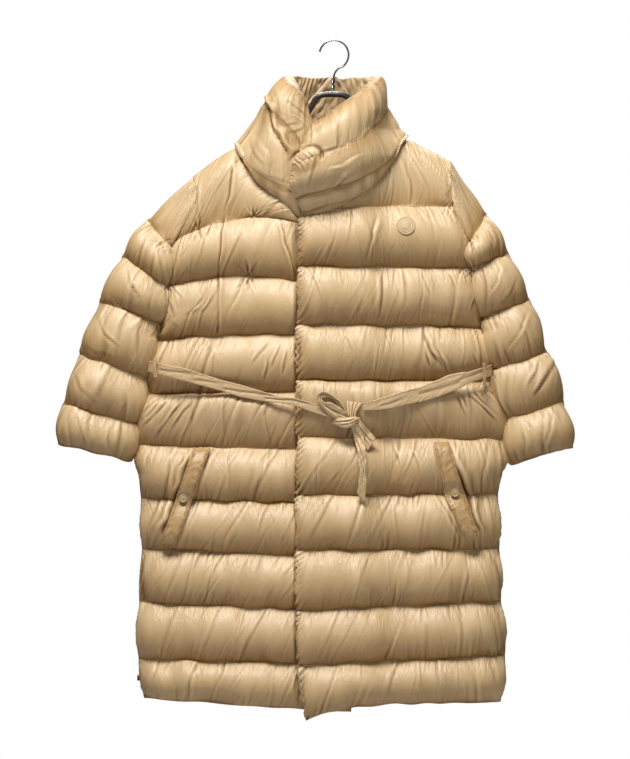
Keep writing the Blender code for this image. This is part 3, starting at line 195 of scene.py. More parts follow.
# where the upper seam lies at each station, and how deep the lower one is there
COLLAR_HIGH_SEAM = (0.56, 0.56, 0.56, 0.57, 0.58, 0.56, 0.56, 0.56, 0.56, 0.56, 0.58, 0.66, 0.72,
                    0.62, 0.5, 0.46, 0.44)
COLLAR_LOW_GROOVE = (1.0, 1.0, 1.0, 0.8, 0.4, 0.15) + (0.1,) * 11
# sideways swell of the viewer's left side, dent of the right one, and swell of the end on top
SwellAt = namedtuple("SwellAt", "z amount")
COLLAR_SWELL = rows(
    SwellAt, (-60, 5), (-84, 8), (-98, 11), (-112, 14), (-124, 14), (-140, 8), (-155, 4), (-175, 0))
COLLAR_TUCK = rows(
    SwellAt, (-130, 0), (-152, 7), (-165, 13), (-178, 11), (-192, 7), (-205, 3), (-215, 0))
COLLAR_END = rows(
    SwellAt, (-195, 0), (-225, 11), (-243, 15), (-272, 17), (-294, 8), (-312, 0))
# shares of the panels' width that the collar's stations stand on
FRONT_NECK_SHARES = (0.0, 0.05, 0.15, 0.3, 0.5, 0.7)
BACK_NECK_SHARES = (0.83, 0.75, 0.64, 0.53, 0.42, 0.31, 0.2)

# how fine the shown pieces are
POINT_STEP = 3.3          # spacing of the cloth's points down a panel
FRONT_POINTS, BACK_POINTS = 235, 221
SLEEVE_HALF, COLLAR_POINTS = 72, 421
COLLAR_CHANNEL_POINTS = (9, 31, 31)
INSIDE_EVERY = 4          # the plain inside has a point for every fourth one outside

# how the cloth swells and turns
SAG = 1.06                # the down settles: a baffle is fullest below its middle
ROUNDNESS = 0.92          # 0.5 for a baffle with an elliptic section, 1 for an arc
BELTED = {4: 0.66}        # the belted baffle is fullest just above the belt
PAST_ARMHOLE = 34.0       # height over which a side seam starts below the armhole
YOKE_EDGE = 17.0          # where the shoulder's baffle runs on into the sleeve
YOKE_SLOPE = 0.35         # how fast the yoke fills out below the shoulder
SEAM_SIDE = 10.5          # the side folds are less pinched by the seams than the faces
UNDER_ARM = 9.0           # the folds of sleeve and side are this much fuller there
CAP_LEAD = 26.0           # height over which a sleeve's cap leaves the armhole's direction
CAP_WALL = 9.0            # along the shoulder, and where the sleeve's cap meets it
SHOULDER_LEAD = 16.0      # height over which the cloth turns down from the shoulder's line
NOISE_WAVES = 14

# how much lower the shoulder's padding lies than at its fullest
DropAt = namedtuple("DropAt", "x amount")
SHOULDER_DROP = rows(
    DropAt, (-345, 0), (-316, 2), (-296, 6), (-274, 9), (-250, 11), (-200, 9), (-178, 5), (-150, 0),
    (130, 0), (160, 9), (200, 9), (225, 8), (250, 5), (262, 3), (285, 0))
SHOULDER_LINE = rows(
    Place, (-345, -340), (-254, -240), (-221, -213), (-179, -190), (136, -177), (179, -194),
    (214, -214), (285, -320))
DROP_FADE = 75.0
YOKE_PASSES = 70


# ---------------------------------------------------------------- number helpers
def along(table, at, key="z", value="x"):
    """Read a table of places as a smooth curve through them."""
    keys, values = (np.array([getattr(row, name) for row in table], float)
                    for name in (key, value))
    if keys[0] > keys[-1]:
        keys, values = keys[::-1], values[::-1]
    return curve(keys, values, at)


def straight_along(table, at, value="amount"):
    """Read a table by straight lines, from its first field to its value."""
    keys, values = [row[0] for row in table], [getattr(row, value) for row in table]
    if keys[0] > keys[-1]:
        return np.interp(-at, [-key for key in keys], values)
    return np.interp(at, keys, values)


def curve(keys, values, at):
    """A smooth curve through values at rising keys."""
    slopes = np.gradient(values, keys)
    at = np.clip(np.asarray(at, float), keys[0], keys[-1])
    spot = np.clip(np.searchsorted(keys, at) - 1, 0, len(keys) - 2)
    width = keys[spot + 1] - keys[spot]
    t = (at - keys[spot]) / width
    return ((2 * t**3 - 3 * t**2 + 1) * values[spot] + (t**3 - 2 * t**2 + t) * width * slopes[spot]
            + (3 * t**2 - 2 * t**3) * values[spot + 1] + (t**3 - t**2) * width * slopes[spot + 1])


def curve_through(points, at, reach=None):
    """Points on a smooth curve through others, by the distance along them."""
    reach = walked(points) if reach is None else reach
    return np.stack([curve(reach, points[:, k], at) for k in range(points.shape[1])], -1)


def walked(points):
    """Distance along a line of points, at each of them."""
    return np.concatenate([[0], np.cumsum(np.linalg.norm(np.diff(points, axis=0), axis=1))])


def blend(first, second, amount):
    return first + (second - first) * amount


def soft_step(low, high, at):
    t = np.clip((at - low) / (high - low), 0.0, 1.0)
    return t * t * (3 - 2 * t)


def unit(vectors):
    return vectors / np.maximum(np.linalg.norm(vectors, axis=-1, keepdims=True), 1e-9)


def crease_section(v, ridge_at=1.3, ridge=0.7, spread=1.0, sharpness=1.6):
    """A crease's section: a trough at 0, with a ridge on one side of it."""
    return (-np.exp(-sharpness * np.abs(v))
            + ridge * np.exp(-np.minimum(((v - ridge_at) / spread) ** 2, 30)))


def baffle_bulge(fraction, sag=SAG):
    """Height of a baffle's section, fullest just below its middle: 0 at both seams."""
    sagged = np.clip(fraction, 0, 1) ** sag
    return np.maximum(1 - (2 * sagged - 1) ** 2, 0) ** ROUNDNESS


def yoke_bulge(fraction):
    """The same for the baffle over the shoulder, which has no seam along its top."""
    return baffle_bulge(0.42 + 0.58 * np.clip(fraction, 0, 1))


def surface_normals(points, outward=None):
    """Unit normals of a grid of points, on the side that outward points to."""
    normals = unit(np.cross(np.gradient(points, axis=0), np.gradient(points, axis=1)))
    if outward is None:
        return normals
    flip = np.sign((normals * outward).sum(-1, keepdims=True))
    return normals * np.where(flip == 0, 1, flip)


def smooth_noise(rng, at, pitch):
    """Smooth random numbers, about -1 to 1, that change over the pitch."""
    at = np.asarray(at, float) / pitch
    low = int(np.floor(at.min())) - 2
    values = rng.uniform(-1, 1, int(np.ceil(at.max())) - low + 4)
    whole = np.floor(at).astype(int)
    part = at - whole
    part = part * part * (3 - 2 * part)
    return blend(values[whole - low], values[whole - low + 1], part)


def smooth_noise_2d(rng, first, second, pitch):
    """Smooth random numbers over two coordinates: many waves that run every way."""
    total = np.zeros(np.broadcast(first, second).shape)
    for _ in range(NOISE_WAVES):
        turn = rng.uniform(0, 2 * pi)
        rate = 2 * pi / (pitch * rng.uniform(1.5, 3.6))
        total += np.sin(rate * (np.cos(turn) * first + np.sin(turn) * second)
                        + rng.uniform(0, 2 * pi))
    return total / np.sqrt(NOISE_WAVES)


# ---------------------------------------------------------------- the padded surfaces
class Padding:
    """The points of a padded piece: outside, inside, and where they lie in their baffle."""

    def __init__(self, outer, inner, fraction, number, even=False):
        self.outer, self.inner = outer, inner
        self.fraction = np.broadcast_to(fraction, outer.shape[:2]).copy()
        self.number = np.broadcast_to(number, outer.shape[:2]).copy()
        across = np.linalg.norm(np.diff(outer, axis=1), axis=-1)
        down = np.linalg.norm(np.diff(outer, axis=0), axis=-1)
        shape = outer.shape[:2]
        middle = shape[1] // 2
        self.across = np.zeros(shape)
        self.across[:, 1:] = np.cumsum(across, axis=1)
        self.across -= self.across[:, middle:middle + 1]
        if even:
            self.across[:] = self.across.mean(axis=0)
        self.down = np.zeros(shape)
        self.down[1:] = np.cumsum(np.broadcast_to(down.mean(axis=1, keepdims=True), down.shape),
                                  axis=0)


def lower_shoulder(padding):
    """Let the padding along the shoulder settle onto its line."""
    x, z = padding.outer[:, :, 0], padding.outer[:, :, 2]
    amount = straight_along(SHOULDER_DROP, x)
    amount = amount * (1 - soft_step(0, DROP_FADE, straight_along(SHOULDER_LINE, x, "z") - z))
    padding.outer[:, :, 2] -= amount
    padding.inner[:, :, 2] -= amount


def soften_yoke(padding):
    """Smooth the outside of the first baffle, all but its edges."""
    points = padding.outer
    rows_there = int((padding.number[:, 0] == 0).sum())
    weight = np.zeros(points.shape[:2])
    down = np.minimum(np.arange(rows_there), rows_there - 1 - np.arange(rows_there)) / 6
    across = np.minimum(np.arange(points.shape[1]), np.arange(points.shape[1])[::-1]) / 4
    weight[:rows_there] = np.clip(down, 0, 1)[:, None] * np.clip(across, 0, 1)[None, :]
    for _ in range(YOKE_PASSES):
        mean = points.copy()
        mean[1:-1, 1:-1] = (points[2:, 1:-1] + points[:-2, 1:-1] + points[1:-1, 2:]
                            + points[1:-1, :-2]) / 4
        points += weight[:, :, None] * (mean - points)


class Armhole:
    """The sewn curve between a sleeve and the panels: points, directions, thicknesses."""

    def __init__(self, table, shoulder, full_until):
        self.levels = np.array([row.z for row in table], float)
        share = (self.levels[0] - self.levels) / (self.levels[0] - self.levels[-1])
        depth = SEWN_GAP / 2 + ARMHOLE_DEPTH * np.sin(pi * share) ** 0.6
        depth[[0, -1]] = SEWN_GAP / 2
        slope = np.array([shoulder[-1].x - shoulder[-2].x, 0, shoulder[-1].z - shoulder[-2].z])
        top = unit(np.array([-slope[2], 0, slope[0]]) * np.sign(slope[0]))
        self.wall = np.interp(share, (0, 0.12, full_until, full_until + 0.08),
                              (CAP_WALL, YOKE_EDGE, YOKE_EDGE, STITCHED_WALL))
        self.points, self.normals = {}, {}
        for face, sign, flatness in (("front_x", -1, 1.0), ("back_x", 1, BACK_FLATNESS)):
            x = np.array([getattr(row, face) for row in table], float)
            y = sign * np.maximum(depth * flatness, SEWN_GAP / 2)
            points = np.stack([x, y, self.levels], -1)
            normals = unit(np.cross(np.gradient(points, axis=0), [1.0, 0, 0])) * -sign
            normals[0] = top
            normals[-1] = (0, 0, -1)
            self.points[sign], self.normals[sign] = points, normals

    def index(self, z):
        return float(np.interp(-z, -self.levels, np.arange(len(self.levels))))

    def at(self, sign, index):
        """Point, direction and thickness at a whole or part index of the levels."""
        low = min(int(index), len(self.levels) - 2)
        points, offsets = self.points[sign], self.normals[sign] * self.wall[:, None]
        offset = blend(offsets[low], offsets[low + 1], index - low)
        thickness = float(np.linalg.norm(offset))
        return blend(points[low], points[low + 1], index - low), offset / thickness, thickness


def round_off(shares, start):
    """0 until a share, then up to 1 like the side of a rounded edge."""
    t = np.clip((shares - start) / (1 - start), 0, 1)
    return 1 - np.sqrt(1 - t * t)


def beside_armhole(shares):
    """How far the surface beside an armhole follows the armhole's direction."""
    return np.interp(shares, (0.8, 0.9, 0.97, 1.0), (0.0, 0.25, 0.6, 1.0))


def closer(z, side):
    """How much the side folds lie nearer each other under the arm than the solids do."""
    return side * UNDER_ARM * soft_step(-520, -600, z) * soft_step(-800, -770, z)


def edge_spot(z, body_side, armhole, face, side):
    """x, direction and thickness of a panel's hollow edge at height z, None for free ones."""
    end = armhole.levels[-1]
    if z >= end:
        return armhole.at(face, armhole.index(z))
    past = float(soft_step(end, end - PAST_ARMHOLE, z))
    x = float(along(body_side, z)) - side * SIDE_CROWN * past + closer(z, side)
    direction = unit(blend(np.array([0, 0.3 * face, -1.0]), np.array([side, 0, 0]), past))
    point = np.array([x, face * SEWN_GAP / 2, z])
    return point, direction, None if past >= 1 else blend(STITCHED_WALL, SIDE_CROWN, past)


def hollow_half_depth(x, z, edge_x, edge_depth, top_z, top_depth):
    """Half the hollow's depth behind a point of a panel."""
    across = np.clip(abs(x - COAT_MIDDLE) / abs(edge_x - COAT_MIDDLE), 0, 1)
    below = np.clip((top_z - z) / SHOULDER_ROUND, 0, 1)
    core = blend(top_depth, along(HOLLOW, z, value="depth"), np.sqrt(1 - (1 - below) ** 2))
    roundness = blend(1 / 1.8, 1.0, np.clip(edge_depth / 12, 0, 1))
    return blend(edge_depth, core, (1 - across**2.6) ** roundness)


def neck_half_depth(x):
    """Half the depth of the neck opening at x; it closes at both ends of the neck."""
    low, high = RIGHT_NECK[-1].x, LEFT_NECK[-1].x
    share = np.clip((2 * x - low - high) / (high - low), -1, 1)
    return NECK_DEPTH * np.sqrt(1 - share**2)


def seam_line(seam, columns):
    """Heights of a quilting seam at the panel's columns."""
    return (blend(seam.inner, seam.outer, columns) + seam.arch * np.sin(pi * columns) ** 0.8
            - seam.drop * (1 - columns) ** 5)


def baffle_rows(tops, lows):
    """Baffle number and fraction of each row of points, close enough for the point step."""
    numbers, fractions = [0], [0.0]
    for number, (top, low) in enumerate(zip(tops, lows)):
        count = max(int(round(abs(top - low) * 1.12 / POINT_STEP / 2)) * 2, 8)
        spread = np.linspace(0, 1, count + 1)[1:]
        fractions += list(blend(spread, (1 - np.cos(pi * spread)) / 2, 0.35))
        numbers += [number] * count
    return np.array(numbers), np.array(fractions)


def front_padding(side, seams, open_edge, neck, shoulder, body_side, armhole):
    """A front: side is +1 for the left one and -1 for the right one, which is lapped."""
    columns = np.linspace(0, 1, FRONT_POINTS)
    neck_end = FRONT_NECK_SHARES[-1]
    on_neck = columns <= neck_end
    top_x = np.where(on_neck, blend(neck[0].x, neck[-1].x, columns / neck_end),
                     blend(shoulder[0].x, shoulder[-1].x, (columns - neck_end) / (1 - neck_end)))
    neck_z, shoulder_z = (along(sorted(line, key=lambda place: place.x), top_x, "x", "z")
                          for line in (neck, shoulder))
    top_z = np.where(on_neck, neck_z, shoulder_z)
    top_depth = np.where(columns < neck_end, neck_half_depth(top_x), SEWN_GAP / 2)
    if side < 0:
        top_depth = top_depth - LAPPED_NECK_DROP * soft_step(LAPPED_FROM, 0.0, top_x)
    lows = [seam.outer for seam in seams]
    numbers, fractions = baffle_rows([armhole.levels[0] - 20] + lows[:-1], lows)
    inner = np.zeros((len(numbers), len(columns), 3))
    spots = []
    for r, (number, fraction) in enumerate(zip(numbers, fractions)):
        low_z = seam_line(seams[number], columns)
        above = top_z if number == 0 else seam_line(seams[number - 1], columns)
        z = blend(above, low_z, fraction)
        spot = edge_spot(z[-1], body_side, armhole, -1, side)
        if number == 0:
            low_spot = edge_spot(low_z[-1], body_side, armhole, -1, side)
            low_x = blend(along(open_edge, low_z[0]), low_spot[0][0], columns)
            x = blend(top_x, low_x, fraction)
        else:
            x = blend(along(open_edge, z[0]), spot[0][0], columns)
        x = x + (spot[0][0] - x[-1]) * columns**3
        depth = hollow_half_depth(x, z, x[-1], -spot[0][1], top_z, top_depth)
        if side > 0:
            depth = depth + LAP_LIFT * (1 - soft_step(LAP_START, LAP_END, x))
        inner[r] = np.stack([x, -np.maximum(depth, SEWN_GAP / 2), z], -1)
        spots.append(spot)
    normals = surface_normals(inner, np.array([0.0, -1.0, 0.0]))
    on_shoulder = soft_step(neck_end - 0.04, neck_end + 0.02, columns)
    lead_off_shoulder(normals, inner, armhole.normals[-1][0], on_shoulder)
    thickness = panel_thickness(numbers, fractions, inner, FRONT_CROWN,
                                1 - round_off(columns, 0.87), on_shoulder, BELTED)
    follow_edge(normals, thickness, spots, columns, slice(None))
    if side < 0:
        crown = LAPPED_CROWN
        share = soft_step(LAPPED_FROM, LAPPED_FROM - LAPPED_BLEND, inner[:, :, 0])
    else:
        crown = EDGE_CROWN
        share = 1 - round_off(1 - columns, 0.92)
    thin = (crown - STITCHED_WALL) / (FRONT_CROWN - STITCHED_WALL)
    thickness = STITCHED_WALL + (thickness - STITCHED_WALL) * blend(thin, 1.0, share)
    outer = inner + normals * thickness[:, :, None]
    return Padding(outer, inner, fractions[:, None], numbers[:, None])


def follow_edge(normals, thickness, spots, shares, columns):
    """Lead the surface into its sewn edge: shares rise to 1 there."""
    near = round_off(shares, 0.93)
    for r, (_, direction, wall) in enumerate(spots):
        follow = (near if wall is None else beside_armhole(shares))[:, None]
        normals[r, columns] = unit(blend(normals[r, columns], direction, follow))
        if wall is not None:
            thickness[r, columns] = blend(thickness[r, columns], wall, near)


def lead_off_shoulder(normals, inner, direction, shares):
    """Start the surface at right angles to the shoulder seam, so that front and back meet."""
    height = inner[0, :, 2] - inner[:, :, 2]
    amount = (1 - soft_step(0.0, SHOULDER_LEAD, height)) * shares
    amount[np.abs(inner[:, :, 1]) > 2 * SHOULDER_LEAD] = 0
    normals[:] = unit(blend(normals, direction, amount[:, :, None]))


def panel_thickness(numbers, fractions, inner, crown, beside_edge, on_shoulder, belted):
    """Thickness of a panel: 1 - beside_edge is how near its sewn sides a column lies."""
    thickness = np.zeros(inner.shape[:2])
    low = blend(SEAM_SIDE, STITCHED_WALL, soft_step(0.0, 0.5, beside_edge))
    for r, (number, fraction) in enumerate(zip(numbers, fractions)):
        if number == 0:
            height = inner[0, :, 2] - inner[r, :, 2]
            start = blend(STITCHED_WALL + 1, CAP_WALL, on_shoulder)
            full = np.minimum(YOKE_CROWN, start + YOKE_SLOPE * np.maximum(height, 0))
            bulge = yoke_bulge(fraction)
        else:
            full, bulge = crown, baffle_bulge(fraction, belted.get(number, SAG))
        peak = blend(SIDE_CROWN + 2, full, beside_edge)
        thickness[r] = low + (peak - low) * bulge
    return roll_hem(thickness, numbers, fractions)


def roll_hem(thickness, numbers, fractions):
    """Keep the last edge of a piece as thick as its rolled hem."""
    last = numbers == numbers[-1]
    hem = soft_step(0.8, 1.0, fractions[last])[:, None]
    thickness[last] = np.maximum(thickness[last], HEM_ROLL * hem)
    return thickness


def back_padding(left_armhole, right_armhole):
    """The back, from the wearer's right side to the left one."""
    columns = np.linspace(0, 1, BACK_POINTS)
    low, high = BACK_NECK_SHARES[-1], BACK_NECK_SHARES[0]
    top_x = np.select(
        [columns < low, columns <= high],
        [blend(RIGHT_SHOULDER[-1].x, RIGHT_SHOULDER[0].x, columns / low),
         blend(BACK_NECK[0].x, BACK_NECK[-1].x, (columns - low) / (high - low))],
        blend(LEFT_SHOULDER[0].x, LEFT_SHOULDER[-1].x, (columns - high) / (1 - high)))
    outline = RIGHT_SHOULDER[::-1] + BACK_NECK[1:-1] + LEFT_SHOULDER
    top_z = along(outline, top_x, "x", "z")
    inside_neck = (columns > low) & (columns < high)
    top_depth = np.where(inside_neck, neck_half_depth(top_x), SEWN_GAP / 2 / BACK_FLATNESS)
    lows = [seam.outer for seam in BACK_SEAMS]
    numbers, fractions = baffle_rows([left_armhole.levels[0] + 10] + lows[:-1], lows)
    inner = np.zeros((len(numbers), len(columns), 3))
    rights, lefts = [], []
    for r, (number, fraction) in enumerate(zip(numbers, fractions)):
        above = top_z if number == 0 else seam_line(BACK_SEAMS[number - 1], columns)
        z = blend(above, seam_line(BACK_SEAMS[number], columns), fraction)
        right = edge_spot(z[0], RIGHT_SIDE, right_armhole, 1, -1)
        left = edge_spot(z[-1], LEFT_SIDE, left_armhole, 1, 1)
        straight = blend(right[0][0], left[0][0], columns)
        x = blend(top_x, straight, min(1.0, 2.2 * fraction)) if number == 0 else straight
        x = x + (right[0][0] - x[0]) * (1 - columns) ** 3 + (left[0][0] - x[-1]) * columns**3
        right_half = x < COAT_MIDDLE
        edge_x = np.where(right_half, x[0], x[-1])
        edge_depth = np.where(right_half, right[0][1], left[0][1]) / BACK_FLATNESS
        depth = BACK_FLATNESS * hollow_half_depth(x, z, edge_x, edge_depth, top_z, top_depth)
        inner[r] = np.stack([x, np.maximum(depth, SEWN_GAP / 2), z], -1)
        rights.append(right)
        lefts.append(left)
    normals = surface_normals(inner, np.array([0.0, 1.0, 0.0]))
    on_right = soft_step(low + 0.02, low - 0.02, columns)
    on_left = soft_step(high - 0.02, high + 0.02, columns)
    lead_off_shoulder(normals, inner, right_armhole.normals[1][0], on_right)
    lead_off_shoulder(normals, inner, left_armhole.normals[1][0], on_left)
    beside_edge = 1 - round_off(columns, 0.92) - round_off(1 - columns, 0.92)
    thickness = panel_thickness(numbers, fractions, inner, BACK_CROWN, beside_edge,
                                on_right + on_left, {})
    half = len(columns) // 2
    follow_edge(normals, thickness, rights, 1 - 2 * columns[:half], slice(0, half))
    follow_edge(normals, thickness, lefts, 2 * columns[half:] - 1, slice(half, None))
    outer = inner + normals * thickness[:, :, None]
    return Padding(outer, inner, fractions[:, None], numbers[:, None])


def sleeve_padding(side, seams, armhole):
    """A sleeve, from the armhole over the shoulder down to the cuff."""
    half = SLEEVE_HALF
    steps = np.arange(half + 1)
    columns_of = {-1: steps, 1: 2 * half - steps}       # from under the arm to the outer fold
    levels = armhole.levels
    ends = [levels[FIRST_SLEEVE_LEVEL]] + [seam.under_z for seam in seams[1:]]
    numbers, fractions = baffle_rows(ends[:-1], ends[1:])
    outer_path, outer_out = outer_fold(side, seams, armhole, numbers, fractions)
    inner = np.zeros((len(numbers), 2 * half + 1, 3))
    under_out = np.zeros((len(numbers), 3))
    spots = []
    turn = pi * steps / half
    width = (1 - np.cos(turn)) / 2
    for r, (number, fraction) in enumerate(zip(numbers, fractions)):
        here, after = seams[number], seams[number + 1]
        depth = blend(here.depth, after.depth, fraction)
        fold = outer_path[r] - outer_out[r] * (CAP_WALL if number == 0 else SIDE_CROWN)
        z_here = blend(ends[number], ends[number + 1], fraction)
        run = unit(np.array([after.under_x - here.under_x, after.under_z - here.under_z], float))
        away = np.array([run[1], -run[0]]) * side
        under = np.array([blend(here.under_x, after.under_x, fraction),
                          blend(here.under_z, after.under_z, fraction)])
        under_out[r] = (away[0], 0, away[1])
        past = soft_step(levels[-1], levels[-1] - PAST_ARMHOLE, under[1])
        under = under - away * SIDE_CROWN * past
        under[0] -= closer(under[1], side)
        both = {}
        for sign, flat in ((-1, 1.0), (1, BACK_FLATNESS)):
            if z_here >= levels[-1]:
                both[sign] = armhole.at(sign, armhole.index(z_here))
                begin = both[sign][0]
            else:
                begin = np.array([under[0], sign * SEWN_GAP / 2, under[1]])
            rise = max(depth * flat - abs(begin[1]) / 2, 4.0) * np.sin(turn) ** 0.75
            y = begin[1] * (1 - width) + sign * rise
            y[-1] = 0.0
            inner[r, columns_of[sign]] = np.stack(
                [blend(begin[0], fold[0], width), y, blend(begin[2], fold[1], width)], -1)
        spots.append(both)
    for sign, columns in columns_of.items():
        for step in steps:
            inner[0, columns[step]] = on_cap(armhole, sign, step)[0]
        inner[0, columns[-1], 1] = 0.0
    normals = surface_normals(inner, inner - inner.mean(axis=1, keepdims=True))
    thickness = sleeve_thickness(numbers, fractions, inner.shape[1])
    lead_folds(normals, thickness, spots, outer_out, under_out, columns_of)
    for sign, columns in columns_of.items():
        for step in steps:
            _, normals[0, columns[step]], thickness[0, columns[step]] = on_cap(armhole, sign, step)
    gone = np.linalg.norm(inner - inner[:1], axis=-1)
    lead = (1 - soft_step(0.0, CAP_LEAD, gone)) * (numbers == 0)[:, None]
    lead[gone > 4 * CAP_LEAD] = 0
    normals = unit(blend(normals, normals[:1], lead[:, :, None]))
    thickness = blend(thickness, thickness[:1], lead)
    inner = inner + np.array([side * SEWN_GAP, 0, 0])
    outer = inner + normals * thickness[:, :, None]
    return Padding(outer, inner, fractions[:, None], numbers[:, None], even=True)


def on_cap(armhole, sign, step):
    """Point, direction and thickness of the sleeve's top edge at a step to its outer fold."""
    return armhole.at(sign, FIRST_SLEEVE_LEVEL * (1 - step / SLEEVE_HALF))


def outer_fold(side, seams, armhole, numbers, fractions):
    """The sleeve's outer fold at each row, as x and z, and the way out of it."""
    path = np.array([[blend(seams[n].fold_x, seams[n + 1].fold_x, f),
                      blend(seams[n].fold_z, seams[n + 1].fold_z, f)]
                     for n, f in zip(numbers, fractions)])
    point, direction, _ = armhole.at(-1, 0)
    start = (point + direction * CAP_WALL)[[0, 2]] - path[0]
    path += start * (1 - soft_step(0, 1, fractions + numbers))[:, None]
    slope = np.gradient(path, axis=0)
    return path, unit(np.stack([-slope[:, 1], slope[:, 0]], -1)) * side


def lead_folds(normals, thickness, spots, outer_out, under_out, columns_of):
    """Lead a sleeve's surface into its outer fold and into the armhole or the fold below it."""
    half = SLEEVE_HALF
    steps = np.arange(half + 1)
    shares = 1 - steps / half
    from_fold = np.abs(np.arange(2 * half + 1) - half)
    fold_share = np.clip(1 - from_fold / 5, 0, 1)[:, None] ** 2
    for r, spot in enumerate(spots):
        way = np.array([outer_out[r][0], 0, outer_out[r][1]])
        normals[r] = unit(blend(normals[r], way, fold_share))
        for sign, columns in columns_of.items():
            if spot:
                _, direction, wall = spot[sign]
                near = round_off(shares, 0.9)
                follow = beside_armhole(shares)[:, None]
            else:
                direction, wall = under_out[r], thickness[r, columns]
                near = np.clip(1 - steps / 5, 0, 1) ** 2
                follow = near[:, None]
            normals[r, columns] = unit(blend(normals[r, columns], direction, follow))
            thickness[r, columns] = blend(thickness[r, columns], wall, near)


def sleeve_thickness(numbers, fractions, columns):
    """Thickness at each row and column: least at the folds, most on the faces."""
    face = np.abs(np.sin(np.linspace(0, 2 * pi, columns))) ** 0.6
    low = blend(SEAM_SIDE, STITCHED_WALL, np.clip(2 * face, 0, 1))
    thickness = np.zeros((len(numbers), columns))
    for r, (number, fraction) in enumerate(zip(numbers, fractions)):
        if number == 0:
            fold_crown, crown = blend(CAP_WALL, SIDE_CROWN + 7, fraction), YOKE_CROWN
            bulge = yoke_bulge(fraction)
        else:
            fold_crown, crown = SIDE_CROWN + 2, SLEEVE_CROWN
            bulge = baffle_bulge(fraction)
        thickness[r] = low + (blend(fold_crown, crown, face) - low) * bulge
    return roll_hem(thickness, numbers, fractions)


def neck_line(left, back, right, station):
    """Outer and inner foot of the collar at a station, whole or part, on the panels' tops."""
    front_end = len(FRONT_NECK_SHARES) - 1
    back_end = front_end + len(BACK_NECK_SHARES) - 1
    fronts, backs = np.arange(front_end + 1), np.arange(front_end, back_end + 1)
    if station < front_end:
        padding, share = left, np.interp(station, fronts, FRONT_NECK_SHARES)
    elif station <= back_end:
        padding, share = back, np.interp(station, backs, BACK_NECK_SHARES)
    else:
        from_right = len(COLLAR_STATIONS) - 1 - station
        padding, share = right, np.interp(from_right, fronts, FRONT_NECK_SHARES)
    spots = np.linspace(0, 1, padding.outer.shape[1])
    return [np.array([np.interp(share, spots, grid[0, :, k]) for k in range(3)])
            for grid in (padding.outer, padding.inner)]


def collar_feet(left, back, right, at):
    """Both feet of the collar at its columns, with the panels' corners smoothed out."""
    feet = np.array([neck_line(left, back, right, station) for station in at])
    reach = 4
    kernel = np.ones(2 * reach + 1) / (2 * reach + 1)
    for layer in range(2):
        for k in range(3):
            padded = np.pad(feet[:, layer, k], reach, mode="edge")
            feet[:, layer, k] = np.convolve(padded, kernel, "valid")
    return feet


def collar_padding(left, back, right):
    """One padded band from the left end, round the back, to the right end underneath."""
    stations = np.arange(len(COLLAR_STATIONS))
    at = np.linspace(0, len(stations) - 1, COLLAR_POINTS)
    tables = {name: curve(stations, np.array([getattr(s, name) for s in COLLAR_STATIONS], float),
                          at) for name in CollarAt._fields}
    feet = collar_feet(left, back, right, at)
    heights = np.concatenate([np.linspace(low, high, count)[1 if low else 0:] for low, high, count
                              in zip(COLLAR_SEAMS, COLLAR_SEAMS[1:], COLLAR_CHANNEL_POINTS)])
    high_seam = np.interp(at, stations, COLLAR_HIGH_SEAM)
    groove = np.interp(at, stations, COLLAR_LOW_GROOVE)
    inner = np.zeros((len(heights), len(at), 3))
    outer = np.zeros_like(inner)
    for column in range(len(at)):
        top = CollarAt(*(tables[name][column] for name in CollarAt._fields))
        foot_outer, foot = feet[column]
        foot_out = foot_outer - foot
        away = unit(np.array([(foot[0] + top.x) / 2 - COAT_MIDDLE, (foot[1] + top.y) * 1.2]))
        out = np.array([away[0], away[1], 0.0])
        head = np.array([top.x, top.y, top.z]) - out * COLLAR_EDGE / 2
        belly = (foot + head) / 2 + out * top.lean * 2
        seams_here = (0.0, COLLAR_SEAMS[1], high_seam[column], 1.0)
        for row, height in enumerate(heights):
            spot = np.interp(height, COLLAR_SEAMS, seams_here)
            inner[row, column] = ((1 - spot) ** 2 * foot + 2 * spot * (1 - spot) * belly
                                  + spot**2 * head)
            direction = unit(blend(unit(foot_out), out, soft_step(0.0, 0.12, height)))
            thick = collar_thickness(height, top.crown, groove[column])
            outer[row, column] = inner[row, column] + direction * thick
        outer[0, column] = foot + foot_out * 1.15 - np.array([0, 0, 3.0])
    numbers = np.clip(np.searchsorted(COLLAR_SEAMS, heights, side="left") - 1, 0, 2)
    lows, highs = (np.array(COLLAR_SEAMS)[numbers + more] for more in (0, 1))
    fractions = (heights - lows) / (highs - lows)
    push_collar(outer, inner, heights)
    lift = np.array([0.0, 0.0, SEWN_GAP])
    padding = Padding(outer + lift, inner + lift, fractions[:, None], numbers[:, None], even=True)
    crinkle_lining(padding)
    return padding


def push_collar(outer, inner, heights):
    """Swell the viewer's left side, dent the right one, and swell the end that lies on top."""
    swell = straight_along(COLLAR_SWELL, outer[:, :, 2])
    outer[:, :, 0] -= swell * np.clip((COAT_MIDDLE - outer[:, :, 0] - 35) / 60, 0, 1)
    tuck = straight_along(COLLAR_TUCK, outer[:, :, 2]) * soft_step(0.04, 0.25, heights)[:, None]
    outer[:, :, 0] -= tuck * np.clip((outer[:, :, 0] - COAT_MIDDLE - 70) / 60, 0, 1)
    end = straight_along(COLLAR_END, outer[:, :, 2])
    from_end = np.arange(outer.shape[1]) * float(np.linalg.norm(outer[20, 1] - outer[20, 0]))
    near = np.exp(-(from_end / 30) ** 2)[None, :]
    outer[:, :, 0] -= end * near
    inner[:, :, 0] -= end * near


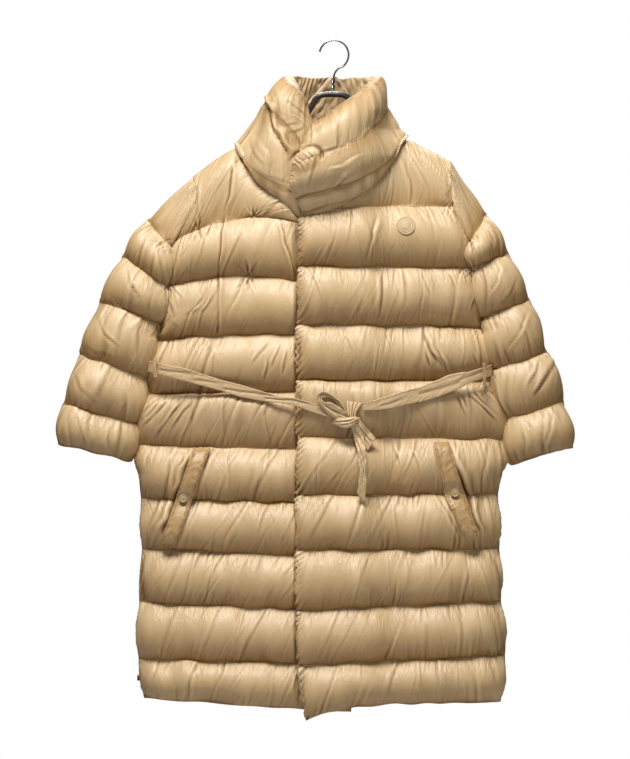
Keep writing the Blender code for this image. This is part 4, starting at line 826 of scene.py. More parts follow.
def crinkle_lining(padding):
    rng = np.random.default_rng(LINING_SEED)
    lining = smooth_noise_2d(rng, padding.across, 0.5 * padding.down, LINING_PITCH)
    lining = LINING_DEPTH * (0.7 - np.abs(lining)) * soft_step(0, 25, padding.down)
    ways = surface_normals(padding.inner, padding.outer - padding.inner)
    padding.inner += ways * np.minimum(lining, 0.2 * COLLAR_EDGE)[:, :, None]


def collar_thickness(height, crown, groove):
    """Three channels: a thin roll at the neck seam and two full ones above it."""
    number = 0
    while number < len(COLLAR_SEAMS) - 2 and height > COLLAR_SEAMS[number + 1]:
        number += 1
    low, high = COLLAR_SEAMS[number], COLLAR_SEAMS[number + 1]
    fraction = (height - low) / (high - low)
    full = crown * (0.45, 1.0, 0.95)[number]
    walls = (STITCHED_WALL, 0.4 * crown, 0.78 * crown, min(COLLAR_EDGE, 0.7 * crown))
    rest = blend(walls[number], walls[number + 1], fraction)
    grooved = rest + max(full - rest, 0) * float(baffle_bulge(fraction))
    if number == 2:
        return grooved
    middle = COLLAR_SEAMS[2]
    rest = blend(STITCHED_WALL, walls[2], height / middle)
    smooth = rest + max(crown - rest, 0) * float(baffle_bulge(height / middle, 0.8))
    return blend(smooth, grooved, groove)


# ---------------------------------------------------------------- gathering the cloth
# a crease starts on a seam and runs across the baffle: start is its place along the seam,
# slant how far it leans to the side per mm, reach its length as a share of the baffle
Crease = namedtuple("Crease", "start from_top slant reach depth width bend")
# long creases: spacing, share that starts at the top seam, spread of the slant, and ranges
CreaseKind = namedtuple("CreaseKind", "pitch at_top slants reaches depth depths width widths bends "
                                      "gaps calm")
DRAG = CreaseKind(56.0, 0.5, 0.08, (0.5, 1.3), 3.0, (0.35, 1.0), 4.0, (0.7, 1.5), 9.0,
                  (0.35, 1.7), 0.35)
LINE = CreaseKind(24.0, 0.55, 0.25, (0.3, 1.0), 1.6, (0.3, 1.3), 1.6, (0.8, 1.6), 7.0,
                  (0.2, 1.9), 0.25)
PLEAT_PITCH = 13.0        # fine pleats that fan out from a seam
PLEAT_DEPTH, PLEAT_WIDTH, PLEAT_CALM = 2.3, 2.8, 0.3
TUFT_DEPTH, TUFT_WIDTH, TUFT_COUNT = 3.4, 2.6, 7
DEEPEST = 5.0             # no trough or ridge goes much past this
DEEPEST_SHARE = 0.55      # and none goes deeper than this share of the padding
SEAM_FADE, EDGE_FADE, FOLD_FADE = 7.0, 12.0, 7.0
BUMP_PITCH, BUMP_DEPTH = 45.0, 2.2            # uneven down
DIMPLE_PITCH, DIMPLE_DEPTH = 16.0, 0.6
WAVE_PITCH, WAVE_DEPTH, WAVE_FADE = 26.0, 1.3, 30.0     # no seam runs quite straight
# the small slanting pillows along the open edge, and how far from straight it runs
PILLOW_PITCH, PILLOW_DEPTH, PILLOW_LEAN, PILLOW_REACH = 13.0, 6.0, 0.9, 14.0
# the puffed corner of the collar's end
RUFFLE_LEAN = radians(34)
RUFFLE_HALF_LENGTH, RUFFLE_HALF_WIDTH = 27.0, 17.0
RUFFLE_PITCH, RUFFLE_DEPTH, RUFFLE_RISE, RUFFLE_GROOVE = 6.4, 3.2, 6.5, 4.0
PINCH_PLEATS = (4, 7, 9, 13)
TOP_FRACTION = 0.1        # what the material takes for the top of a baffle

Fold = namedtuple("Fold", "pixels depth width")
Pinch = namedtuple("Pinch", "px py depth radius")


def calmed(place, smooth, calm):
    """How strong a crease is that starts at a place, weaker where the cloth is smooth."""
    return calm if any(low < place < high for low, high in smooth) else 1.0


def either_side(rng):
    return rng.choice((-1.0, 1.0))


def fans_of_pleats(rng, low, high, height, lean, amount, smooth):
    """Fine pleats in fans at both seams of a baffle."""
    found = []
    for from_top, way in ((True, 1), (False, -1)):
        centre = low + rng.uniform(-10, 30)
        while centre < high + 20:
            spread = rng.uniform(10, 34)
            strength = rng.uniform(0.25, 1.0)
            for _ in range(int(amount * rng.uniform(1.2, 2.6) * spread / PLEAT_PITCH) + 1):
                offset = rng.normal(0, 0.6 * spread)
                place = centre + offset
                calm = calmed(place, smooth, PLEAT_CALM)
                slant = way * lean(place) + 0.6 * offset / height + rng.normal(0, 0.12)
                reach = rng.uniform(0.14, 0.48) * calm
                depth = PLEAT_DEPTH * strength * rng.uniform(0.5, 1.1) * calm
                width = PLEAT_WIDTH * rng.uniform(0.7, 1.5) * either_side(rng)
                found.append(Crease(place, from_top, slant, reach, depth, width,
                                    rng.normal(0, 5.0)))
            centre += spread + rng.uniform(12, 46)
    return found


def long_creases(rng, kind, start, high, lean, amount, smooth):
    """Creases of one kind, one after the other along a baffle."""
    found = []
    centre = start
    while centre < high:
        from_top = rng.random() < kind.at_top
        way = 1 if from_top else -1
        slant = way * lean(centre) + rng.normal(0, kind.slants)
        reach = rng.uniform(*kind.reaches)
        depth = kind.depth * rng.uniform(*kind.depths) * calmed(centre, smooth, kind.calm)
        width = kind.width * rng.uniform(*kind.widths) * either_side(rng)
        found.append(Crease(centre, from_top, slant, reach, depth, width,
                            rng.normal(0, kind.bends)))
        centre += kind.pitch * rng.uniform(*kind.gaps) / amount
    return found


def baffle_creases(rng, low, high, height, lean, pleats, drags, smooth):
    """Creases of one baffle: fine pleats in fans at both seams, drag lines and thin lines."""
    found = fans_of_pleats(rng, low, high, height, lean, pleats, smooth)
    found += long_creases(rng, DRAG, low + rng.uniform(0, DRAG.pitch), high, lean, drags, smooth)
    found += long_creases(rng, LINE, low, high, lean, pleats, smooth)
    return found


def tuft(place, from_top, rng):
    """Short sharp creases that all start at one pinched place of a seam."""
    return [Crease(place + rng.normal(0, 2.0), from_top, slant + rng.normal(0, 0.1),
                   rng.uniform(0.16, 0.32), TUFT_DEPTH, TUFT_WIDTH * either_side(rng), 0.0)
            for slant in np.linspace(-0.9, 0.9, TUFT_COUNT)]


def crease_field(across, fraction, height, creases):
    """Sum of the creases' sections over a baffle."""
    field = np.zeros(across.shape)
    for crease in creases:
        t = (fraction if crease.from_top else 1 - fraction) * height
        share = t / (crease.reach * height)
        reached = share[:, share.shape[1] // 2] < 1
        if not reached.any():
            continue
        t, share = t[reached], share[reached]
        centre = crease.start + crease.slant * t + crease.bend * (t / height) ** 2
        width = crease.width * (0.6 + 0.9 * t / height)
        section = crease_section((across[reached] - centre) / width, 1.3, 0.65, 1.1, 1.5)
        field[reached] += crease.depth * section * np.clip(1 - share, 0, 1) ** 0.7
    return field


def edge_puckers(rng, from_edge, down, depth, lean, pitch=8.0, reach=11.0):
    """Small slanting ridges that a sewn or stitched edge draws into the cloth beside it."""
    place = down + lean * from_edge + 2.5 * smooth_noise(rng, down, 25.0)
    ridges = np.abs(smooth_noise(rng, place, pitch)) * 2 - 0.8
    patch = 0.55 + 0.45 * smooth_noise(rng, down, 40.0)
    rise = np.clip(from_edge / 3.0, 0.25, 1)
    return depth * ridges * patch * rise * np.exp(-(from_edge / reach) ** 2)


def edge_pillows(rng, from_edge, down):
    """Small slanting pillows that the stitches of the open edge draw up."""
    place = down + PILLOW_LEAN * from_edge + 6.0 * smooth_noise(rng, down, 36.0)
    pillow = np.abs(np.sin(pi * place / PILLOW_PITCH)) ** 0.7 - 0.4
    strength = 0.75 + 0.5 * smooth_noise(rng, down, 55.0)
    return PILLOW_DEPTH * pillow * strength * near_edge(from_edge)


def near_edge(from_edge):
    return np.exp(-(from_edge / PILLOW_REACH) ** 2)


def fan_lean(padding, middle, end=0.0, more=0.0):
    """Creases lean outwards as they go down, most beside the far edge, and more to one side."""
    low, high = padding.across.min(), padding.across.max()

    def lean(place):
        share = np.clip((2 * place - low - high) / (high - low), -1, 1)
        return middle * share + end * max(share, 0) ** 4 + more
    return lean


def gather(padding, rng, lean, pleats=1.0, drags=1.0, extra=lambda number: [], smooth=(),
           folds=(), puckers=(0.0, 0.0), open_edge=0.0, pinches=(), ruffle_at=None, evenness=1.0):
    """Outer points with their gathers, and how deep each one lies in them.

    Creases lean by lean(place).  puckers are their depths at the first and the last edge,
    open_edge is how many mm the first edge wanders, and smooth pairs a baffle with its calm
    spans.
    """
    relief = np.zeros(padding.across.shape)
    calm_spans = dict(smooth)
    for number in np.unique(padding.number):
        there = padding.number[:, 0] == number
        across, fraction, down = padding.across[there], padding.fraction[there], padding.down[there]
        height = float(np.ptp(down[:, 0])) + 1.0
        creases = baffle_creases(rng, across.min(), across.max(), height, lean, pleats, drags,
                                 calm_spans.get(int(number), ()))
        field = crease_field(across, fraction, height, creases + extra(number))
        field = DEEPEST * np.tanh(field / DEEPEST)
        field += BUMP_DEPTH * evenness * smooth_noise_2d(rng, across, 0.6 * down, BUMP_PITCH)
        field += DIMPLE_DEPTH * smooth_noise_2d(rng, across, 0.4 * down, DIMPLE_PITCH)
        from_seam = np.minimum(fraction, 1 - fraction) * height
        relief[there] = field * np.clip(from_seam / SEAM_FADE, 0.0, 1) ** 0.6
    start = padding.across - padding.across[:, :1]
    end = padding.across[:, -1:] - padding.across
    relief *= np.clip(np.minimum(start, end) / EDGE_FADE, 0, 1)
    rim = np.minimum(np.minimum(start, end), padding.down)
    relief += ((long_folds(padding, folds, rng) + pinched(padding, pinches, rng))
               * np.clip(rim / FOLD_FADE, 0, 1))
    quilted = soft_step(0.5, 1.0, padding.number + padding.fraction)
    for distance, depth, way in ((start, puckers[0], 1), (end, puckers[1], -1)):
        if depth:
            relief += quilted * edge_puckers(rng, distance, padding.down, depth, 0.7 * way)
    if ruffle_at:
        relief += ruffle(padding, *ruffle_at)
    if open_edge:
        relief += edge_pillows(rng, start, padding.down)
    wall = np.linalg.norm(padding.outer - padding.inner, axis=-1)
    relief = np.maximum(relief, -DEEPEST_SHARE * wall)
    drift = smooth_noise_2d(rng, padding.across, 0.5 * padding.down, WAVE_PITCH)
    drift *= WAVE_DEPTH * np.clip(rim / WAVE_FADE, 0, 1)
    padding.outer[:, :, 2] += drift
    padding.inner[:, :, 2] += drift
    normals = surface_normals(padding.outer, padding.outer - padding.inner)
    if open_edge:
        shift = open_edge * (smooth_noise(rng, padding.down, 9.0)
                             + smooth_noise(rng, padding.down, 31.0))
        shift *= near_edge(start)
        padding.outer[:, :, 0] += shift
        padding.inner[:, :, 0] += shift
    return padding.outer + normals * relief[:, :, None], crease_depth(relief)


def line_offset(x, z, places):
    """Signed distance from a line of places, how far along it, and its length."""
    nearest = np.full(x.shape, 1e6)
    offset, run, gone = np.zeros(x.shape), np.zeros(x.shape), 0.0
    for first, last in zip(places[:-1], places[1:]):
        dx, dz = last.x - first.x, last.z - first.z
        length = float(np.hypot(dx, dz))
        t = np.clip(((x - first.x) * dx + (z - first.z) * dz) / length**2, 0, 1)
        away_x, away_z = x - first.x - t * dx, z - first.z - t * dz
        away = np.hypot(away_x, away_z)
        nearer = away < nearest
        nearest = np.where(nearer, away, nearest)
        offset = np.where(nearer, away * np.sign(away_z * dx - away_x * dz), offset)
        run = np.where(nearer, gone + t * length, run)
        gone += length
    return offset, run, gone


def long_folds(padding, folds, rng):
    """Folds along lines that are seen from the front."""
    relief = np.zeros(padding.across.shape)
    x, y, z = np.moveaxis(padding.outer, -1, 0)
    for fold in folds:
        line = [Place(*on_coat(px, py)) for px, py in fold.pixels]
        margin = 7 * abs(fold.width)
        near = y < 0
        for values, ends in ((x, [place.x for place in line]), (z, [place.z for place in line])):
            near = near & (values > min(ends) - margin) & (values < max(ends) + margin)
        if not near.any():
            continue
        offset, run, length = line_offset(x[near], z[near], line)
        offset = offset + 1.6 * smooth_noise(rng, run, 17.0)
        width = fold.width * (1 + 0.4 * smooth_noise(rng, run, 23.0))
        fade = min(26.0, 0.35 * length)
        strength = soft_step(-1.0, fade, run) * soft_step(length + 1.0, length - fade, run)
        strength = strength * (0.8 + 0.35 * smooth_noise(rng, run, 29.0))
        relief[near] += fold.depth * strength * crease_section(offset / width)
    return relief


def pinched(padding, pinches, rng):
    """Places where the cloth is gathered to a point, with pleats all round it."""
    relief = np.zeros(padding.across.shape)
    x, y, z = np.moveaxis(padding.outer, -1, 0)
    for pinch in pinches:
        pinch_x, pinch_z = on_coat(pinch.px, pinch.py)
        away = np.hypot(x - pinch_x, z - pinch_z) / pinch.radius
        turn = np.arctan2(z - pinch_z, x - pinch_x)
        pleats = sum(np.cos(count * turn + rng.uniform(0, 2 * pi) + 0.8 * away)
                     for count in PINCH_PLEATS) / 2
        pleats = 0.5 - np.abs(pleats)
        pleats = pinch.depth * pleats * np.minimum(away * 3, 1) * np.exp(-(away**2))
        hollow = 1.2 * pinch.depth * np.exp(-(away / 0.16) ** 2)
        relief += np.where(y < 0, pleats - hollow, 0)
    return relief


def ruffle(padding, px, py):
    """The puffed, pleated corner where the collar's end is gathered, as it is seen at a pixel."""
    x, y, z = np.moveaxis(padding.outer, -1, 0)
    middle_x, middle_z = on_coat(px, py)
    away_x, away_z = x - middle_x, z - middle_z
    lengthwise = away_x * cos(RUFFLE_LEAN) + away_z * sin(RUFFLE_LEAN)
    crosswise = away_z * cos(RUFFLE_LEAN) - away_x * sin(RUFFLE_LEAN)
    away = np.hypot(lengthwise / RUFFLE_HALF_LENGTH, crosswise / RUFFLE_HALF_WIDTH)
    turn = (lengthwise + 0.12 * crosswise + 0.012 * crosswise**2) / RUFFLE_PITCH
    pleats = np.abs(np.sin(pi * turn + 0.8 * np.sin(1.7 * turn))) ** 0.8 - 0.5
    dome = np.exp(-(away**4))
    facing_up = 0.3 + lengthwise / RUFFLE_HALF_LENGTH + crosswise / RUFFLE_HALF_WIDTH
    rim = np.clip(facing_up, 0, 1) * np.exp(-(((away - 1.2) / 0.16) ** 2))
    relief = dome * (RUFFLE_RISE + RUFFLE_DEPTH * pleats) - RUFFLE_GROOVE * rim
    return np.where(y < 0, relief, 0)


def crease_depth(relief):
    """How far each point lies below its neighbours: above 0 in a trough, below 0 on a ridge."""
    depth = np.zeros(relief.shape)
    for reach in (2, 4):
        padded = np.pad(relief, ((0, 0), (reach, reach)), mode="edge")
        depth += (padded[:, 2 * reach:] + padded[:, :-2 * reach]) / 2 - relief
    return depth


# ---------------------------------------------------------------- meshes
def every_nth(count, step):
    """Whole numbers below a count, a step apart, and the last one."""
    return sorted({*range(0, count, step), count - 1})


def padded_mesh(name, padding, points, depth, every=INSIDE_EVERY):
    """The gathered cloth outside, a plainer inside, closed round the rim."""
    shape = points.shape[:2]
    picks = [every_nth(count, every) for count in shape]
    inside = padding.inner[np.ix_(*picks)]
    faces = grid_faces(shape, 0) + grid_faces(inside.shape, shape[0] * shape[1], inward=True)
    faces += rim_faces(shape, picks)
    vertices = np.concatenate([points.reshape(-1, 3), inside.reshape(-1, 3)]) * MM
    piece = finished(name, vertices, faces)
    uv = np.stack([np.concatenate([grid.ravel(), grid[np.ix_(*picks)].ravel()])
                   for grid in (padding.across, padding.down)], -1) * MM
    set_uv(piece.data, uv)
    from_rim = np.minimum(padding.across - padding.across[:, :1],
                          padding.across[:, -1:] - padding.across)
    # crease and fraction also carry the material's painted highlight and shade
    for key, values, within in (("crease", depth, 0.0),
                                ("fraction", shown_fraction(padding), TOP_FRACTION),
                                ("edge", near_edge(from_rim), 0.0)):
        inner_values = np.full(inside.shape[0] * inside.shape[1], within)
        set_attribute(piece.data, key, np.concatenate([values.ravel(), inner_values]))
    return piece


def shown_fraction(padding):
    """Place down each baffle, as the material takes it for its painted shade: later on the yokes and
    the collar.
    """
    last = padding.number.max()
    if last > 3:
        evenly_lit = padding.number == 0
    else:
        evenly_lit = np.full(padding.number.shape, last == 2)
    return np.where(evenly_lit, TOP_FRACTION + 0.85 * padding.fraction**2, padding.fraction)


def grid_faces(shape, first, inward=False):
    """Four-sided faces between the points of a grid."""
    columns = shape[1]
    faces = []
    for row in range(shape[0] - 1):
        start = first + row * columns
        corners = ((start + c, start + columns + c, start + columns + c + 1, start + c + 1)
                   for c in range(columns - 1))
        faces += [face[::-1] for face in corners] if inward else list(corners)
    return faces


def rim_faces(shape, picks):
    """Faces between the rim of the fine outside and that of the coarser inside."""
    coarse_shape = [len(pick) for pick in picks]
    fine = rim_indices(range(shape[0]), range(shape[1]), shape[1], 0)
    coarse = rim_indices(*map(range, coarse_shape), coarse_shape[1], shape[0] * shape[1])
    marks = rim_indices(*picks, shape[1], 0)
    place = {index: k for k, index in enumerate(fine)}
    faces = []
    for k, mark in enumerate(marks):
        following = (k + 1) % len(marks)
        here, after = coarse[k], coarse[following]
        first, last = place[mark], place[marks[following]]
        if last <= first:
            last += len(fine)
        middle = (first + last) // 2
        for step in range(first, last):
            corner = here if step < middle else after
            faces.append((fine[(step + 1) % len(fine)], fine[step % len(fine)], corner))
            if step == middle:
                faces.append((fine[step % len(fine)], here, after))
    return faces


def rim_indices(rows, columns, stride, start):
    """Indices round the rim of a grid, or round the picked rows and columns of it."""
    last_row, last_column = rows[-1], columns[-1]
    order = ([(rows[0], c) for c in columns] + [(r, last_column) for r in rows[1:]]
             + [(last_row, c) for c in reversed(columns[:-1])]
             + [(r, columns[0]) for r in reversed(rows[1:-1])])
    return [start + r * stride + c for r, c in order]


def set_uv(mesh, pairs):
    corners = np.zeros(len(mesh.loops), dtype=np.int32)
    mesh.loops.foreach_get("vertex_index", corners)
    layer = mesh.uv_layers.new(name="cloth")
    layer.data.foreach_set("uv", pairs[corners].astype(np.float32).ravel())


def set_attribute(mesh, name, values):
    attribute = mesh.attributes.new(name, "FLOAT", "POINT")
    attribute.data.foreach_set("value", np.asarray(values, np.float32))


def finished(name, points, faces):
    """An object from its points, in metres, and faces, shaded smooth, with its faces outwards."""
    mesh = bpy.data.meshes.new(name)
    mesh.from_pydata(np.asarray(points).tolist(), [], faces)
    shape = bmesh.new()
    shape.from_mesh(mesh)
    bmesh.ops.recalc_face_normals(shape, faces=shape.faces)
    shape.to_mesh(mesh)
    shape.free()
    mesh.shade_smooth()
    piece = bpy.data.objects.new(name, mesh)
    bpy.context.scene.collection.objects.link(piece)
    return piece


# ---------------------------------------------------------------- pieces that lie on the cloth
FAR_OFF = 400.0
CLOTH_WALL = 2.4          # a folded band of the shell's cloth
BAND_COLUMNS, BAND_STEP = 25, 1.4
ROUND_SEGMENTS = 48
STITCH, STITCH_GAP, THREAD = 2.6, 1.5, 0.38
Rung = namedtuple("Rung", "x1 y1 lift1 x2 y2 lift2")


class Shown:
    """Shown pieces, to find the outermost point of along a straight line, in mm."""

    def __init__(self, pieces):
        points, faces = [], []
        for piece in pieces:
            start = len(points)
            points += [vertex.co / MM for vertex in piece.data.vertices]
            faces += [[start + v for v in polygon.vertices] for polygon in piece.data.polygons]
        self.tree = BVHTree.FromPolygons(points, faces)

    def hit(self, start, direction):
        place = self.tree.ray_cast(Vector(start), Vector(direction))[0]
        return None if place is None else np.array(place)

    def front_y(self, x, z):
        place = self.hit((x, -FAR_OFF, z), (0, 1, 0))
        return 0.0 if place is None else place[1]

    def foremost(self, x, z, reach):
        return min(self.front_y(x + dx, z + dz) for dx in (-reach, 0, reach)
                   for dz in (-reach, 0, reach))


def cloth_band(name, low, high, facing, relief, thickness=CLOTH_WALL):
    """A thin closed band of cloth between two edge lines, its wrinkles on both faces."""
    shares = np.linspace(0, 1, relief.shape[1])
    middle = blend(low[:, None], high[:, None], shares[None, :, None])
    normals = surface_normals(middle)
    if (normals * np.asarray(facing)).sum(-1).mean() < 0:
        normals = -normals
    edge = thickness / 2 * (0.4 + 0.6 * np.sqrt(1 - (2 * shares - 1) ** 4))[None, :, None]
    outer, inner = (middle + normals * (relief[:, :, None] + way * edge) for way in (1, -1))
    # fraction 0.35 gives a band a little painted shade from the baffle ramp of the nylon material
    padding = Padding(outer, inner, 0.35, 0)
    return padded_mesh(name, padding, outer, crease_depth(relief), every=1), outer


def crumple(rng, along_mm, across_mm, pitch, depth, stretch=3.0, slant=0.3):
    """Small sharp folds that run mostly along a band."""
    field = np.zeros(np.broadcast(along_mm, across_mm).shape)
    for size, share in ((pitch, 1.0), (0.45 * pitch, 0.45)):
        waves = smooth_noise_2d(rng, along_mm / stretch + slant * across_mm, across_mm, size)
        field += share * (0.6 - np.abs(waves))
    return depth * field


def band_folds(at, shares, folds):
    """Folds along a band, from (place, share of the width) to another, of some depth."""
    field = np.zeros((len(at), len(shares)))
    for start, share_0, end, share_1, depth, width in folds:
        line = blend(share_0, share_1, (at - start) / (end - start))
        fade = soft_step(start - 2, start + 6, at) * soft_step(end + 2, end - 6, at)
        v = (shares[None, :] - line[:, None]) / width
        field += depth * fade[:, None] * crease_section(v, ridge_at=1.2)
    return field


def rung_lines(rungs, base, steps):
    """Both edge lines of a band whose places the photograph shows, lifted off a base depth."""
    at = np.linspace(0, len(rungs) - 1, steps)
    values = {key: curve(np.arange(len(rungs)), np.array([getattr(r, key) for r in rungs], float),
                         at) for key in Rung._fields}
    base = np.interp(at, np.linspace(0, len(rungs) - 1, len(np.atleast_1d(base))),
                     np.atleast_1d(base))
    lines = []
    for side in "12":
        y = base - values["lift" + side]
        x, z = seen(values["x" + side], values["y" + side], y)
        lines.append(np.stack([x, y, z], -1))
    return lines


def measured(points):
    """Distances along and across a band of points."""
    along_mm = np.zeros(points.shape[:2])
    across_mm = np.zeros(points.shape[:2])
    along_mm[1:] = np.cumsum(np.linalg.norm(np.diff(points, axis=0), axis=-1), axis=0)
    across_mm[:, 1:] = np.cumsum(np.linalg.norm(np.diff(points, axis=1), axis=-1), axis=1)
    return along_mm, across_mm


def rung_band(name, rungs, base, rng, pitch, depth, bulge, folds, stretch):
    """A crumpled band through its rungs; folds lie at hundredths of its length."""
    low, high = rung_lines(rungs, base, 200)
    length = walked((low + high) / 2)[-1]
    steps = max(int(length / BAND_STEP), 12)
    low, high = rung_lines(rungs, base, steps)
    shares = np.linspace(0, 1, BAND_COLUMNS)
    along_mm, across_mm = measured(blend(low[:, None], high[:, None], shares[None, :, None]))
    relief = crumple(rng, along_mm, across_mm, pitch, depth, stretch)
    relief += band_folds(np.linspace(0, 100, steps), shares, folds)
    relief += bulge * (np.sqrt(np.maximum(1 - (2 * shares - 1) ** 2, 0)) - 1)[None, :]
    return cloth_band(name, low, high, (0, -1, 0), relief)


def tube(name, rings, capped=True):
    """A tube through rings of as many points each, in mm; a face closes each end if capped."""
    rings = np.asarray(rings)
    count = rings.shape[1]
    faces = []
    for first in range(0, (len(rings) - 1) * count, count):
        for k in range(count):
            after = (k + 1) % count
            faces.append((first + k, first + count + k, first + count + after, first + after))
    if capped:
        faces.append(tuple(range(count)))
        faces.append(tuple(reversed(range((len(rings) - 1) * count, len(rings) * count))))
    return finished(name, rings.reshape(-1, 3) * MM, faces)


def lathe(name, centre, facing, profile):
    """A round piece from its profile of (radius, height), closed underneath."""
    facing = unit(np.asarray(facing, float))
    first = unit(np.cross(facing, [0.0, 0.1, 1.0]))
    second = np.cross(facing, first)
    turns = np.linspace(0, 2 * pi, ROUND_SEGMENTS, endpoint=False)[:, None]
    return tube(name, [np.asarray(centre) + radius * (np.cos(turns) * first + np.sin(turns) * second)
                       + height * facing for radius, height in profile])


def sweep(name, path, upward, section):
    """A closed section carried along a path: pairs of (depth, height) about each point."""
    path = np.asarray(path, float)
    tangent = unit(np.gradient(path, axis=0))
    beside = unit(np.cross(tangent, np.asarray(upward, float)))
    rise = np.cross(beside, tangent)
    return tube(name, [[spot + a * side_way + b * up_way for a, b in section]
                       for spot, side_way, up_way in zip(path, beside, rise)])


def stitches(name, lines):
    """Dashes of thread along lines of (points, outward directions)."""
    points, faces = [], []
    for line, outward in lines:
        length = walked(line)
        for start in np.arange(1.0, length[-1] - STITCH, STITCH + STITCH_GAP):
            ends = [np.array([np.interp(at, length, line[:, k]) for k in range(3)])
                    for at in (start, start + STITCH)]
            out = unit(np.array([np.interp(start, length, outward[:, k]) for k in range(3)]))
            beside = np.cross(unit(ends[1] - ends[0]), out)
            middle = (ends[0] + ends[1]) / 2 + out * THREAD
            ring = [middle + THREAD * way for way in (beside, out, -beside, -out)]
            first = len(points)
            points += [ends[0]] + ring + [ends[1]]
            for k in range(4):
                after = (k + 1) % 4
                faces.append((first, first + 1 + after, first + 1 + k))
                faces.append((first + 5, first + 1 + k, first + 1 + after))
    return finished(name, np.array(points) * MM, faces)


def line_on(outer, share, start=0.02, end=0.98):
    """A line along a band's outer points at a share of its width, and its outward ways."""
    there = np.arange(int(start * len(outer)), int(end * len(outer)))
    column = share * (outer.shape[1] - 1)
    low = min(int(column), outer.shape[1] - 2)
    normals = surface_normals(outer)
    if normals[:, :, 1].mean() > 0:
        normals = -normals
    return tuple(blend(grid[there, low], grid[there, low + 1], column - low)
                 for grid in (outer, normals))


# ---------------------------------------------------------------- materials
# painted highlight on ridges, the plain colour, and painted shade in troughs
NYLON_PAINTED_RIDGE_HIGHLIGHT = (0.72, 0.55, 0.345)
NYLON_PLAIN = (0.61, 0.445, 0.25)
NYLON_PAINTED_TROUGH_SHADE = (0.28, 0.15, 0.05)
# painted shade down a baffle, from its upper seam to its lower one
BAFFLE_PAINTED_SHADE = [(0.0, (1.0, 1.0, 1.0)), (0.4, (0.94, 0.92, 0.89)), (0.75, (0.81, 0.73, 0.60)),
                 (1.0, (0.54, 0.41, 0.23))]
SHEEN_TINT = (1.0, 0.88, 0.68, 1.0)
# wrinkles: how many a metre, how long they are drawn, how they lean, and their height in m
Wrinkles = namedtuple("Wrinkles", "scale stretch turn depth")
WRINKLES = rows(Wrinkles, (46.0, 0.16, 0.25, 0.0055), (62.0, 0.18, -0.30, 0.0050),
                (130.0, 0.22, 0.04, 0.0034))
EDGE_WRINKLES = Wrinkles(110.0, 0.3, -0.8, 0.006)
CRINKLES = Wrinkles(210.0, 0.6, -0.2, 0.0005)
WEAVE_SCALE, WEAVE_DEPTH = 1800.0, 0.00006


class Nodes:
    """Shorthand for building one material's node tree."""

    def __init__(self, name):
        self.material = bpy.data.materials.new(name)
        self.material.use_nodes = True
        self.tree = self.material.node_tree
        self.shader = self.tree.nodes["Principled BSDF"]

    def add(self, kind, **values):
        node = self.tree.nodes.new(kind)
        for key, value in values.items():
            setattr(node, key, value)
        return node

    def link(self, source, target):
        self.tree.links.new(source, target)

    def set(self, node, **values):
        for key, value in values.items():
            node.inputs[key.replace("_", " ")].default_value = value

    def attribute(self, name):
        return self.add("ShaderNodeAttribute", attribute_name=name).outputs["Fac"]

    def mapped(self, vector, **values):
        node = self.add("ShaderNodeMapping")
        self.set(node, **values)
        self.link(vector, node.inputs["Vector"])
        return node.outputs[0]

    def noise(self, vector, scale, size, detail=3.0, roughness=0.55, distortion=0.0):
        mapped = self.mapped(vector, Scale=scale)
        noise = self.add("ShaderNodeTexNoise")
        self.set(noise, Scale=size, Detail=detail, Roughness=roughness, Distortion=distortion)
        self.link(mapped, noise.inputs["Vector"])
        return noise.outputs[0]

    def folds(self, vector, wrinkles):
        """Sharp-edged folds that run along the cloth's second direction."""
        turned = self.mapped(vector, Rotation=(0, 0, wrinkles.turn))
        noise = self.noise(turned, (1.0, wrinkles.stretch, 1.0), wrinkles.scale, 2.0, 0.5, 0.4)
        away = self.maths("ABSOLUTE", self.maths("SUBTRACT", noise, 0.5))
        return self.maths("POWER", away, 0.75)

    def ramp(self, source, stops):
        ramp = self.add("ShaderNodeValToRGB")
        elements = ramp.color_ramp.elements
        while len(elements) < len(stops):
            elements.new(0.5)
        for element, (position, colour) in zip(elements, stops):
            element.position = position
            element.color = (*colour, 1.0)
        self.link(source, ramp.inputs[0])
        return ramp.outputs[0]

    def multiplied(self, first, second, amount):
        """One colour darkened by another."""
        node = self.add("ShaderNodeMix", data_type="RGBA", blend_type="MULTIPLY")
        self.set(node, Factor=amount)
        self.link(first, node.inputs["A"])
        self.link(second, node.inputs["B"])
        return node.outputs["Result"]

    def maths(self, operation, first, second=None, clamp=False):
        node = self.add("ShaderNodeMath", operation=operation, use_clamp=clamp)
        for slot, value in enumerate((first, second)):
            if value is None:
                continue
            if isinstance(value, (int, float)):
                node.inputs[slot].default_value = value
            else:
                self.link(value, node.inputs[slot])
        return node.outputs[0]

    def scaled(self, value, factor, offset, clamp=False):
        return self.maths("ADD", self.maths("MULTIPLY", value, factor), offset, clamp)

    def bump(self, height, distance, normal=None):
        node = self.add("ShaderNodeBump")
        self.set(node, Strength=1.0, Distance=distance)
        self.link(height, node.inputs["Height"])
        if normal is not None:
            self.link(normal, node.inputs["Normal"])
        return node.outputs[0]


